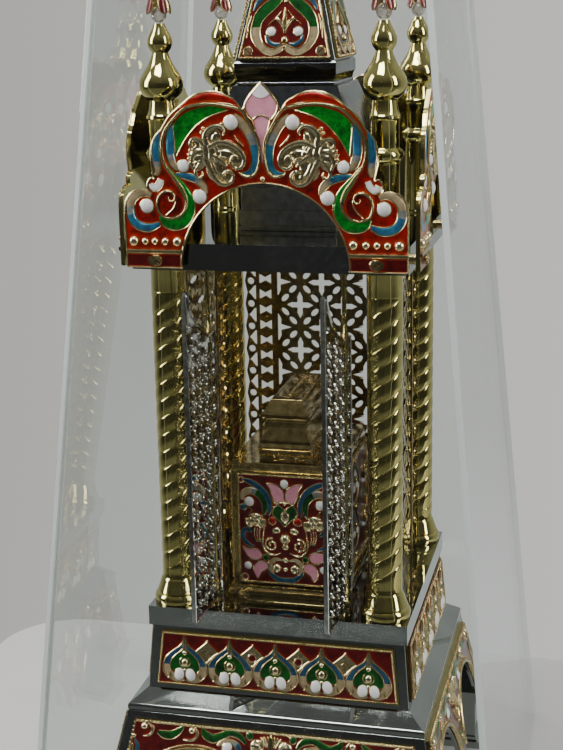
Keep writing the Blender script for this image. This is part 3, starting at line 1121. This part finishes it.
def crown():
    """Four red enamel petals with gold edges hang over the crystal from a ribbed bud."""
    art = Relief()
    lathe([(3.2, 5.6), (4.3, 6.4), (4.4, 8)]
          + smooth([(4.4, 8), (4.8, 9.6), (5.3, 11.4), (4.4, 14.6), (2.2, 17.4), (0.6, 19.6)], steps=3),
          "crimson", art, 24)
    profile = [(7.5, -4.3), (7.1, -1), (6.2, 2.2), (5.2, 5.2), (4.4, 8)]

    def reach(y):
        """The radius of the bell at a height above the crystal."""
        for (r0, y0), (r1, y1) in zip(profile, profile[1:]):
            if y <= y1:
                return r0 + (r1 - r0) * (y - y0) / (y1 - y0)
        return profile[-1][0]

    petal = Relief()
    petal.edged([(0, 8.2, 2.6), (0, 5, 4.6), (0, 1.6, 6.4), (0, -1.6, 6), (0, -3.3, 3.2), (0, -4, 0.8)],
                "crimson", -0.5, 0.5, r=0.35)
    back = Relief()
    back.edged([(0, 8.2, 2.2), (0, 5, 4.4), (0, 1.6, 6.2), (0, -1.6, 5.8), (0, -3.3, 3), (0, -4, 0.8)],
               "gilt", 0.7, 0.3, r=0.2)
    petal.join(back, flip=-1)
    for k in range(4):
        def wrap(x, y, z, a=math.pi / 4 + math.pi / 2 * k):
            r = reach(y) + z
            b = a + x / reach(y)
            return r * math.cos(b), r * math.sin(b), y
        art.join(petal, wrap)
    for k in range(8):
        a = math.pi / 4 * k
        line = smooth([(4.5, 8), (5, 9.8), (5.4, 11.4), (4.5, 14.6), (2.3, 17.4), (0.8, 19.4)], steps=2)
        rib = Relief()
        rib.wire(line, 0.35, 0, sides=5)
        art.join(rib, lambda x, y, z, a=a: (x * math.cos(a) - z * math.sin(a),
                                            x * math.sin(a) + z * math.cos(a), y))
    return art


CROWN = crown()


def corners_mesh(art, name, z, angle=35):
    """Repeats one piece at the four corners in a single mesh."""
    whole = Relief()
    for sx, sy in CORNERS.values():
        whole.join(art, lambda x, y, v, sx=sx, sy=sy: (x + sx * CORNER, y + sy * CORNER, v + z))
    return whole.mesh(name, angle)


place("crowns", corners_mesh(CROWN, "crowns", high("finial_crystals").z),
      replaces=("finial_crowns",))
crystals = frame["nodes"]["finial_crystals"]
dress(crystals.data, CRYSTAL)
set_smooth(crystals.data, True)

# --- Openwork walls ------------------------------------------------------------------------------

CELL_X, CELL_Z, CELL_FOOT = 14.8, 15.45, 4.5
PETAL, OVAL_OUT = 9.2, 4.75                     # reach of a cross, and from its centre to its ovals
BORDER_X = 30.2                                 # the edge of the field of crosses
BOW_X, BOW_PITCH, BOW_FOOT = 38.3, 10.45, 9      # the column of bow-shaped openings
RING_X = 48.3                                   # the outer column of round openings
WALL_HALF = high("lattice_back").x
WALL_H = high("lattice_back").z - low("lattice_back").z


def cross_loop(x, z):
    """A pointed four-petal cross."""
    petal = [(0, PETAL), (1.9, 5.4), (1.7, 3), (1.9, 1.9), (3, 1.7), (5.4, 1.9), (PETAL, 0)]
    quarter = petal[:-1]
    loop = []
    for k in range(4):
        c, s = ((1, 0), (0, -1), (-1, 0), (0, 1))[k]
        loop += [(px * c + py * -s, px * s + py * c) for px, py in quarter]
    return [(x + px, z + pz) for px, pz in loop]


def oval_loop(x, z, turn, rx=3.25, ry=1.75):
    return turned(x, z, arc(0, 0, rx, 0, 360, 14, ry)[:-1], turn)


def lattice():
    """An openwork wall of crosses and ovals between borders of bows and rings."""
    art = Relief()
    foot = FOOT_R - COLLAR_R
    outline = [(-WALL_HALF + foot, 0.2), (WALL_HALF - foot, 0.2), (WALL_HALF - foot, 18.2), (WALL_HALF, 18.2)]
    rows = [CELL_FOOT + CELL_Z * r for r in range(2, 13)]
    right_edge = []
    for z in rows:
        right_edge += [(WALL_HALF - 0.2, z), (WALL_HALF - 1.9, z + CELL_Z / 2)]
    right_edge = [p for p in right_edge if p[1] < WALL_H - 2]
    outline += right_edge + [(WALL_HALF - 0.4, WALL_H)]
    outline += [(-x, z) for x, z in (right_edge + [(WALL_HALF - 0.4, WALL_H)])[::-1]]
    outline += [(-WALL_HALF, 18.2), (-WALL_HALF + foot, 18.2)]
    holes = []
    for row in range(0, 14):
        z = CELL_FOOT + CELL_Z * row
        for col in range(-2, 3):
            x = CELL_X * col
            whole = PETAL + 0.2 < z < WALL_H - PETAL - 0.2
            if (row + col) % 2:
                if whole and abs(col) < 2:
                    holes.append(cross_loop(x, z))
                elif whole:
                    inner = [p for p in cross_loop(x, z) if abs(p[0]) <= 29.62]
                    side = 1 if col > 0 else -1
                    inner.sort(key=lambda p: p[1])
                    holes.append(inner + [(side * BORDER_X, z + PETAL), (side * BORDER_X, z - PETAL)])
            else:
                for sx, sz in ((1, 1), (1, -1), (-1, 1), (-1, -1)):
                    ox, oz = x + sx * OVAL_OUT, z + sz * OVAL_OUT
                    if abs(ox) < 28 and 3.4 < oz < WALL_H - 3.2:
                        holes.append(oval_loop(ox, oz, 45 * sx * sz))
    steps = int((WALL_H - 12) / BOW_PITCH)
    for side in (1, -1):
        for k in range(steps + 1):
            z = BOW_FOOT + BOW_PITCH * k
            if z + 4 > WALL_H - 2:
                continue
            holes.append([(side * x, z + dz) for x, dz in
                          ((34.3, -3.3), (36.4, -2.2), (38.3, -1.1), (40.3, -2.2), (42.5, -3.3),
                           (42.5, 3.3), (40.3, 2.2), (38.3, 1.1), (36.4, 2.2), (34.3, 3.3))])
        for row in range(1, 13):
            z = CELL_FOOT + CELL_Z * row
            if z < WALL_H - 4:
                holes.append([(side * x, y) for x, y in arc(RING_X, z, 2.3, 0, 360, 16)[:-1]])
            if row > 1 and z + CELL_Z / 2 + 5 < WALL_H:
                mid = z + CELL_Z / 2
                holes.append([(side * x, mid + dz) for x, dz in
                              ((44.9, -5), (46.2, -4.4), (48.6, -1.4), (50, 0), (48.6, 1.4),
                               (46.2, 4.4), (44.9, 5))])
    art.fill(outline, "dark", -0.8, 0.8, holes)
    raised = Relief()
    for side in (1, -1):
        raised.band([(side * 31.8, 1, 2.2), (side * 31.8, WALL_H - 1, 2.2)], ("dark", "dark"), 0.7, 0.9)
        for k in range(steps):
            z = BOW_FOOT + BOW_PITCH * (k + 0.5)
            raised.fill([(side * BOW_X + dx, z + dz) for dx, dz in
                         ((3.4, 0), (1.6, 1.6), (0, 2.3), (-1.6, 1.6), (-3.4, 0), (-1.6, -1.6), (0, -2.3),
                          (1.6, -1.6))], "dark", 0.7, 1.2)
            raised.dome(side * BOW_X, z, 1.5, "dark", 1.2, 0.5, levels=3, sides=10)
        for row in range(1, 13):
            z = CELL_FOOT + CELL_Z * row
            if z < WALL_H - 4:
                raised.wire(arc(side * RING_X, z, 2.9, 0, 360, 18)[:-1], 0.45, 0.8, "dark", closed=True,
                            sides=5)
    for row in range(1, 13):
        z = CELL_FOOT + CELL_Z * row
        for col in (-1, 0, 1):
            if (row + col) % 2 == 0 and z < WALL_H - 10:
                raised.dome(CELL_X * col, z, 1.2, "dark", 0.8, 0.5, levels=3, sides=10)
    art.join(raised)
    art.join(raised, flip=-1)
    return art.mesh("lattice", 40)


LATTICE_MESH = lattice()
for side in ("back", "left", "right"):
    place(f"lattice_art_{side}", LATTICE_MESH, face_matrix(side, CORNER, low("lattice_back").z),
          replaces=("lattice_" + side,))

# --- Doors ---------------------------------------------------------------------------------------

ROD_X = (low("door_collars_right").x + high("door_collars_right").x) / 2
ROD_Y = (low("door_collars_right").y + high("door_collars_right").y) / 2
LEAF_REACH, LEAF_TAIL, LEAF_LIFT = ROD_X - 0.25, 9.5, 2.5
LEAF_SHOULDER, LEAF_TOP = 165, 197
ROD_R, ROD_FOOT, ROD_HEAD = 1.3, -4.5, 211.5
HOLE_PITCH, HOLE_X, HOLE_Z, TAIL_HOLE_X = 11, 8.5, 9, -5.6
DOOR_TURNS = {"door_left": (-1, -93), "door_right": (1, 84)}     # side, and degrees from closed


def door():
    """A pierced silver leaf round its rod, closed, with the free edge towards +x."""
    art = Relief()
    r = LEAF_REACH
    outline = ([(-LEAF_TAIL, 10), (-LEAF_TAIL + 2, 8), (-LEAF_TAIL + 2, 0.3), (r, 0.3), (r, LEAF_TOP - 3),
                (r - 2, LEAF_TOP), (r - 5, LEAF_TOP)]
               + smooth([(r - 5, LEAF_TOP), (r - 9, LEAF_TOP - 8), (r - 15, LEAF_TOP - 17),
                         (r - 24, LEAF_TOP - 25), (r - 34, LEAF_TOP - 30)], steps=3)[1:]
               + [(3, LEAF_SHOULDER), (-LEAF_TAIL, LEAF_SHOULDER)])
    outline = [(x, y + LEAF_LIFT) for x, y in outline]
    holes = []
    spots = [(HOLE_X + HOLE_PITCH * col, HOLE_Z + HOLE_PITCH * row) for row in range(14) for col in range(3)]
    spots += [(HOLE_X + HOLE_PITCH * col, HOLE_Z + HOLE_PITCH * 14) for col in (1, 2)]
    for x, y in spots:
        for turn in range(4):
            a = 90 * turn + 45
            holes.append(oval_loop(x + 2.9 * math.cos(math.radians(a)),
                                   y + LEAF_LIFT + 2.9 * math.sin(math.radians(a)), a, 2.1, 1.3))
    for row in range(1, 14):
        holes.append(arc(TAIL_HOLE_X, HOLE_Z + LEAF_LIFT + HOLE_PITCH * row, 2, 0, 360, 14)[:-1])
    holes.append(arc(r - 7, LEAF_TOP - 20 + LEAF_LIFT, 2, 0, 360, 14)[:-1])
    art.fill(outline, "silver", -0.8, 0.8, holes)
    for face in (1, -1):
        side = Relief()
        for x, y in spots:
            side.dome(x, y + LEAF_LIFT, 1.0, "silver", 0.8, 0.8, levels=3, sides=10)
            for turn in range(4):
                a = math.radians(90 * turn)
                side.dome(x + 5.2 * math.cos(a), y + LEAF_LIFT + 5.2 * math.sin(a), 1.5, "silver", 0.8, 0.6,
                          0.7, 90 * turn, levels=3, sides=8)
        for row in range(1, 14):
            side.wire(arc(TAIL_HOLE_X, HOLE_Z + LEAF_LIFT + HOLE_PITCH * row, 2.6, 0, 360, 16)[:-1], 0.4,
                      0.8, "silver", closed=True, sides=5)
        side.wire(inset(outline, 0.9), 0.75, 0.8, "silver", closed=True)
        side.wire([(3.2, 4 + LEAF_LIFT), (3.2, LEAF_SHOULDER - 2)], 0.5, 0.8, "silver")
        art.join(side, flip=face)
    rod = Relief()
    lathe([(ROD_R, ROD_FOOT), (ROD_R, ROD_HEAD)], "gold", rod, 20)
    for z in (LEAF_LIFT + 6, LEAF_LIFT + 82, LEAF_LIFT + LEAF_SHOULDER - 8):
        lathe([(ROD_R, z - 3), (2.1, z - 2.6), (2.2, z), (2.1, z + 2.6), (ROD_R, z + 3)], "gold", rod, 20)
    art.join(rod, lambda x, y, z: (x, z, -y))
    return art


DOOR = door()


def mirrored_mesh(art, name):
    """The same work mirrored left to right."""
    other = Relief()
    other.verts = [(-x, y, z) for x, y, z in art.verts]
    other.faces = [f[::-1] for f in art.faces]
    other.slots = list(art.slots)
    return other.mesh(name, 40)


for node, (side, angle) in DOOR_TURNS.items():
    mesh = DOOR.mesh("door", 40) if side < 0 else mirrored_mesh(DOOR, "door_mirrored")
    place(node + "_art", mesh, Matrix.Translation((side * ROD_X * MM, ROD_Y * MM, DECK * MM))
          @ Matrix.Rotation(math.radians(angle), 4, "Z") @ Matrix.Rotation(math.pi / 2, 4, "X"),
          "leaf_left" if side < 0 else "leaf_right", replaces=(node,))

# --- Pedestal and ark ----------------------------------------------------------------------------


def pedestal():
    """The pedestal's case, with a stepped foot and top."""
    lo, hi = low("pedestal_box"), high("pedestal_box")
    x, y = (lo.x + hi.x) / 2, (lo.y + hi.y) / 2
    step = 4                    # how far the foot stands out from the wall
    hx, hy = (hi.x - lo.x) / 2 - step, (hi.y - lo.y) / 2 - step
    art = Relief()
    top = hi.z - lo.z
    moulding(hx, hy, [(step, 0.1), (step, 2.6), (3.7, 3.2), (2.9, 3.6), (2.4, 4.4), (2.4, 5.8),
                      (1.6, 6.4), (0, 6.8), (0, top - 6.4), (0.8, top - 5.4), (1.1, top - 4.2),
                      (1.1, top - 3.4), (1.5, top - 3), (1.5, top - 0.5), (1.2, top)], "dark", art, x, y)
    mesh = art.mesh("pedestal", 30)
    mesh.transform(Matrix.Translation((0, 0, lo.z * MM)))
    return mesh


place("pedestal_case", pedestal(), replaces=("pedestal_box",))

ARK_Y = (low("ark_body").y + high("ark_body").y) / 2
ARK_W, ARK_L = high("ark_body").x, (high("ark_body").y - low("ark_body").y) / 2
ARK_Z = low("ark_body").z
LID_Z = ARK_Z + 24.3
KNUCKLE_R = 1.6


def ark_case():
    """The ark's body: stepped foot, bellied wall, lip and an open cavity."""
    art = Relief()
    outer = [(0, 0.1), (0, 1.2), (-0.4, 1.5), (-0.4, 4.6), (0, 5), (0, 6), (-0.5, 6.4), (-0.5, 7.2),
             (-1.4, 7.6), (-1.4, 8.6), (-0.9, 9.2), (-0.6, 11), (-0.6, 12.6), (-1.2, 14), (-4, 21),
             (-3.5, 21.2), (-3.5, 21.8), (-3, 22), (-3, 24)]
    inner = [(-7, 24), (-7, 4.2)]
    moulding(ARK_W, ARK_L, [(out, ARK_Z + z) for out, z in outer + inner], "dark", art, y=ARK_Y)
    for y in (-18, 18):
        knuckle(art, y - 3, 6)
    return art


def knuckle(art, y, length):
    """A hinge knuckle round the pin, with its bracket."""
    centre, n = -ARK_W - KNUCKLE_R, 20
    angles = [2 * math.pi * k / n for k in range(n)]
    verts = [(centre + KNUCKLE_R * math.cos(a), ARK_Y + y + d, LID_Z + KNUCKLE_R * math.sin(a))
             for d in (0, length) for a in angles]
    faces = [(k, k + n, (k + 1) % n + n, (k + 1) % n) for k in range(n)]
    art.add(verts, faces + [tuple(range(n)), tuple(range(2 * n - 1, n - 1, -1))], "dark")


def on_wall(whole, part, origin, across, up):
    """Stands a relief on any flat wall, given its origin and the directions across and up."""
    a, b = Vector(across).normalized(), Vector(up).normalized()
    out = a.cross(b)
    whole.join(part, lambda x, y, z: Vector(origin) + a * x + b * y + out * z)


def scroll_strip(length, height):
    """A running scroll with berries, for the narrow walls of the ark."""
    art = Relief()
    count = max(2, round(length / 15))
    pitch = length / count
    for k in range(count):
        x = -length / 2 + pitch * (k + 0.5)
        way = 1 if k % 2 else -1
        r = min(height * 0.42, pitch * 0.3)
        art.leaf([(px, py, 1.4) for px, py in spiral(x, height / 2, r, 0.8, 180, way * 1.5)], 0, 0.8,
                 "dark", 0)
        art.dome(x, height / 2, 0.8, "dark", 0.2)
        art.leaf([(x + pitch * 0.2, height * 0.2, 0.8), (x + pitch * 0.42, height * 0.5, 1.6),
                  (x + pitch * 0.5, height * 0.8, 0.7)], 0, 0.7, "dark", 0)
    return art


ark = ark_case()
for across, reach, length in (((1, 0, 0), ARK_L, 2 * ARK_W - 6), ((0, 1, 0), ARK_W, 2 * ARK_L - 6)):
    for sign in (1, -1):
        a = Vector(across) * sign
        out = a.cross(Vector((0, 0, 1)))
        centre = Vector((0, ARK_Y, ARK_Z))
        on_wall(ark, scroll_strip(length, 4.6), centre + out * (reach - 0.5) + Vector((0, 0, 0.7)), a,
                (0, 0, 1))
place("ark_case", ark.mesh("ark_case", 30), replaces=("ark_body",))


def ark_lid():
    """The ark's lid: a bevelled rim, sloping sides and a flat top, hollow underneath."""
    art = Relief()
    w, d = ARK_W - 1.5, ARK_L - 1.5
    profile = [(-1.6, 0), (-1.5, 0.6), (-2.2, 1), (-2.1, 1.8), (-1.6, 2.8), (-0.6, 3.5), (0, 3.7), (0, 4.3),
               (-0.7, 4.6), (-4.8, 13.4), (-5.2, 13.7)]
    verts = oblong(w, d, [(out, LID_Z + z) for out, z in profile], y=ARK_Y)
    faces = rings(len(profile), 4) + caps(len(profile), 4)[1:]
    n = len(verts)
    # The hollow underside
    well_x, well_y, well_h = 9, 31, 8
    verts += oblong(well_x, well_y, [(0, LID_Z), (0, LID_Z + well_h)], y=ARK_Y)
    for k in range(4):
        m = (k + 1) % 4
        faces += [(k, n + k, n + m, m), (n + k, n + 4 + k, n + 4 + m, n + m)]
    faces.append((n + 7, n + 6, n + 5, n + 4))
    art.add(verts, faces, "dark")
    knuckle(art, -8, 16)
    top = LID_Z + 13.7
    flat = Relief()
    for x, y in ((-5, -26), (5, -26), (-5, 26), (5, 26), (-4.4, -8), (4.4, -8)):
        flat.leaf([(x, y - 4, 0.8), (x * 0.7, y, 2), (x, y + 4, 0.8)], 0, 0.7, "dark", 0)
        flat.dome(x * 0.6, y, 0.9, "dark", 0.2)
    rim = [(sx * (w - 6.4), sy * (d - 6.4)) for sx, sy in CORNERS.values()]
    flat.wire(rim, 0.4, 0, "dark", closed=True)
    on_wall(art, flat, (0, ARK_Y, top), (1, 0, 0), (0, 1, 0))
    return art.mesh("ark_lid", 30)


place("ark_lid_case", ark_lid(), body="lid", replaces=("ark_lid",))


def lid_cross():
    """A raised cross with trefoil ends on the lid, between two sprays."""
    art = Relief()
    art.leaf([(0, -24, 2.2), (0, 0, 2.6), (0, 24, 2.2)], 0, 1.3, groove=0)
    art.leaf([(-6, 7.2, 2), (0, 7.2, 2.6), (6, 7.2, 2)], 0, 1.2, groove=0)
    art.leaf([(-3.6, 14, 1.6), (0, 14, 2), (3.6, 14, 1.6)], 0, 1.1, groove=0)
    for x, y in ((0, 23.4), (-5.6, 7.2), (5.6, 7.2), (0, -23.4), (1.6, 22), (-1.6, 22), (-3.4, 14),
                 (3.4, 14)):
        art.dome(x, y, 1.1, "gilt", 0.3)
    for side in (1, -1):
        art.leaf([(side * 0.8, -20, 1), (side * 3.4, -15, 2), (side * 4.6, -9, 1)], 0, 0.9, groove=0)
        art.dome(side * 3, -12, 0.9, "gilt", 0)
    whole = Relief()
    on_wall(whole, art, (0, ARK_Y, low("ark_lid_cross").z), (1, 0, 0), (0, 1, 0))
    return whole.mesh("ark_lid_cross")


place("ark_lid_cross_art", lid_cross(), body="lid", replaces=("ark_lid_cross",))

# --- Silver body, roof and spire -----------------------------------------------------------------


def soften(node, material, width):
    """Keeps a frame node, with its own finish and slightly worn edges."""
    obj = frame["nodes"][node]
    dress(obj.data, material)
    set_smooth(obj.data, False)
    weld = obj.modifiers.new("weld", "WELD")
    weld.merge_threshold = 0.02 * MM
    bevel = obj.modifiers.new("edges", "BEVEL")
    bevel.width = width * MM
    bevel.segments = 3
    bevel.limit_method = "ANGLE"
    bevel.angle_limit = math.radians(40)
    bevel.harden_normals = True


for node, material, width in (("plinth_slab", SILVER, 0.7), ("canopy_slab", SILVER, 0.7),
                              ("base_skirt", SILVER, 0.5), ("frieze_tier", SILVER, 0.5),
                              ("spire_body", SILVER, 0.5), ("roof_drum", STEEL, 0.4)):
    soften(node, material, width)
for name in CORNERS:
    soften("foot_" + name, SILVER, 0.6)


def square_piece(name, node, profile, palette_slot, finish):
    """A square moulding that stands for a frame node, from (half side, height) points."""
    art = moulding(0, 0, [(half, z - low(node).z) for half, z in profile], palette_slot)
    mesh = art.mesh(name, 30)
    dress(mesh, finish)
    mesh.transform(Matrix.Translation((0, 0, low(node).z * MM)))
    place(name, mesh, replaces=(node,))


LEDGE_Z = low("base_ledge").z
square_piece("ledge_moulding", "base_ledge",
             [(90.2, LEDGE_Z)] + smooth([(91, LEDGE_Z + 0.6), (91, LEDGE_Z + 3), (90.6, LEDGE_Z + 4),
                                         (89.8, LEDGE_Z + 4.7)], steps=4) + [(80.6, LEDGE_Z + 11.4)],
             "silver", SILVER)
EAVE, CORNICE = low("roof_skirt").z, low("spire_cornice").z
square_piece("roof_moulding", "roof_skirt",
             [(50.8, EAVE), (51.6, EAVE + 0.3), (52, EAVE + 1), (52, EAVE + 2.2), (51.6, EAVE + 2.8),
              (50.8, EAVE + 3.2), (31.4, CORNICE - 0.4), (30.6, CORNICE)], "silver", STEEL_DARK)
square_piece("cornice_moulding", "spire_cornice",
             [(29, CORNICE), (29, CORNICE + 1.2), (28.6, CORNICE + 1.6), (29.2, CORNICE + 4.4),
              (30.3, CORNICE + 6.6), (30.3, CORNICE + 12.6), (29.9, CORNICE + 13.2), (29.4, CORNICE + 13.9)],
             "silver", STEEL_DARK)


def spire_cross():
    """A ball, a lotus and a three-bar cross with rounded arms."""
    art = Relief()
    lathe([(6, 0), (9, 0.2), (9, 1.6), (7.4, 2.6), (4.4, 3.6), (4.2, 4.6)]
          + smooth([(4.6, 5), (6.4, 7.4), (7, 11), (6.2, 14.8), (4, 17.4)], steps=3)
          + [(3, 18.4), (4.5, 19.6), (4.5, 20.8), (2.6, 21.8), (1.6, 23)], "gold", art, 32)
    flat = Relief()
    for face in (1, -1):
        side = Relief()
        side.leaf([(0, 22, 2.2), (0, 40, 2.8), (0, 60.4, 2.4)], 0, 1.4, "gold", 0)
        side.leaf([(-12.2, 45.5, 2.2), (0, 45.5, 2.8), (12.2, 45.5, 2.2)], 0, 1.4, "gold", 0)
        side.leaf([(-6.4, 53.5, 2), (0, 53.5, 2.6), (6.4, 53.5, 2)], 0, 1.3, "gold", 0)
        side.leaf([(-7, 34.4, 2), (0, 32, 2.6), (7, 29.6, 2)], 0, 1.3, "gold", 0)
        for x, y in ((0, 59.8), (-11.8, 45.5), (11.8, 45.5), (-6, 53.5), (6, 53.5)):
            side.dome(x, y, 1.2, "gold", 0.1, 1.3)
        side.dome(0, 45.5, 2.2, "red", 0.6, 1.3)
        flat.join(side, flip=face)
    art.join(flat, lambda x, y, z: (x, -z, y))
    mesh = art.mesh("spire_cross", 35)
    mesh.transform(Matrix.Translation((0, 0, low("spire_cross").z * MM)))
    return mesh


place("spire_cross_art", spire_cross(), replaces=("spire_cross",))
for node in ("screws", "ark_hinge_pin", "door_collars_left", "door_collars_right"):
    obj = frame["nodes"][node]
    dress(obj.data, GILT)

# --- Clear cover ---------------------------------------------------------------------------------

for node in ["cover_" + side for side in SIDES] + ["cover_top"]:
    obj = frame["nodes"][node]
    dress(obj.data, PANE)
    set_smooth(obj.data, False)


def cover_edges():
    """Ground glass edges where the panes of the cover meet."""
    art = Relief()
    foot, top = high("cover_right").x, high("cover_top").x
    rise = low("cover_top").z
    thick = high("cover_top").z - rise
    wide, skin = 2.4, 0.05
    for sx, sy in CORNERS.values():
        verts = []
        for half, z in ((foot, 0.1), (top, rise - 0.1)):
            outer, inner = half - skin, half - thick + skin
            for x, y in ((outer, outer), (outer - wide, outer), (outer - wide, inner), (inner, inner),
                         (inner, outer - wide), (outer, outer - wide)):
                verts.append((sx * x, sy * y, z))
        faces = rings(2, 6) + caps(2, 6)
        art.add(verts, faces if sx * sy > 0 else [f[::-1] for f in faces], "silver")
    mesh = art.mesh("cover_edges")
    dress(mesh, PANE_EDGE)
    place("cover_edges", mesh, body="cover")


cover_edges()

# --- Floor, camera and light ---------------------------------------------------------------------


def table_top():
    """A pale table top with rounded corners."""
    art = Relief()
    x0, x1, y0, y1, r = -300, 900, -215, 232, 60
    outline = (arc(x1 - r, y1 - r, r, 0, 90, 12) + arc(x0 + r, y1 - r, r, 90, 180, 12)
               + arc(x0 + r, y0 + r, r, 180, 270, 12) + arc(x1 - r, y0 + r, r, 270, 360, 12))
    art.fill(outline, "white", -30, 0)
    mesh = art.mesh("table_top")
    dress(mesh, FLOOR)
    obj = new_object("table_top", mesh)


table_top()


def camera():
    """The photograph's viewpoint, in metres and radians."""
    data = bpy.data.cameras.new("camera")
    data.sensor_width = 36
    data.lens = 69.35
    data.shift_y = -0.06
    cam = new_object("camera", data)
    yaw, pitch, roll = 0.241, 0.223, -0.019
    ahead = Vector((-math.sin(yaw) * math.cos(pitch), math.cos(yaw) * math.cos(pitch), -math.sin(pitch)))
    right = Vector((math.cos(yaw), math.sin(yaw), 0))
    up = right.cross(ahead)
    x = right * math.cos(roll) + up * math.sin(roll)
    y = up * math.cos(roll) - right * math.sin(roll)
    place_at = Vector((0.197874, -0.854835, 0.515937))
    cam.matrix_world = Matrix.Translation(place_at) @ Matrix((x, y, -ahead)).transposed().to_4x4()
    bpy.context.scene.camera = cam


def lamp(name, at, towards, size, power, colour=(1, 1, 1)):
    data = bpy.data.lights.new(name, "AREA")
    data.shape = "RECTANGLE"
    data.size, data.size_y = size
    data.energy = power
    data.color = colour
    obj = new_object(name, data)
    obj.location = at
    obj.rotation_euler = (Vector(towards) - Vector(at)).to_track_quat("-Z", "Y").to_euler()


def world():
    """Plain grey surroundings, dim in front of the object and pale behind it."""
    w = bpy.data.worlds.new("studio")
    bpy.context.scene.world = w
    w.use_nodes = True
    nodes, links = w.node_tree.nodes, w.node_tree.links
    back = nodes["Background"]
    path = nodes.new("ShaderNodeLightPath")
    coord = nodes.new("ShaderNodeTexCoord")
    split = nodes.new("ShaderNodeSeparateXYZ")
    links.new(coord.outputs["Generated"], split.inputs[0])
    depth = spread(nodes, links, split.outputs["Y"], 0, 1, -0.3, 0.7)
    shade = ramp(nodes, links, depth,
                 [(0.0, (0.05, 0.05, 0.05)), (0.3, (0.17, 0.175, 0.17)), (0.6, (0.38, 0.39, 0.38)),
                  (1.0, (0.50, 0.51, 0.50))])
    above = spread(nodes, links, split.outputs["Z"], 0, 1, 0.1, 0.8)
    lift = blended(nodes, links, above, shade.outputs["Color"], (0.2, 0.2, 0.2), "ADD")
    below = spread(nodes, links, split.outputs["Z"], 1, 0, -0.38, -0.26)
    table = blended(nodes, links, below, lift, (0.15, 0.155, 0.15), "ADD")
    wall = ramp(nodes, links, spread(nodes, links, split.outputs["X"], 0, 1, -0.4, 0),
                [(0.0, (0.52, 0.50, 0.47)), (1.0, (0.70, 0.69, 0.67))])
    seen = blended(nodes, links, path.outputs["Is Camera Ray"], table, wall.outputs["Color"])
    links.new(seen, back.inputs["Color"])


camera()
world()
lamp("left", (-1.25, -0.55, 0.9), (0, 0, 0.35), (0.45, 1.3), 34, (1, 0.98, 0.95))
lamp("right", (1.3, -0.5, 0.9), (0, 0, 0.35), (0.30, 1.2), 20, (1, 0.97, 0.92))
lamp("front", (-0.25, -0.85, 2.0), (0, 0, 0.4), (0.9, 0.4), 26)
lamp("top", (-0.1, 0.3, 1.7), (0, 0, 0.3), (0.8, 0.6), 10)
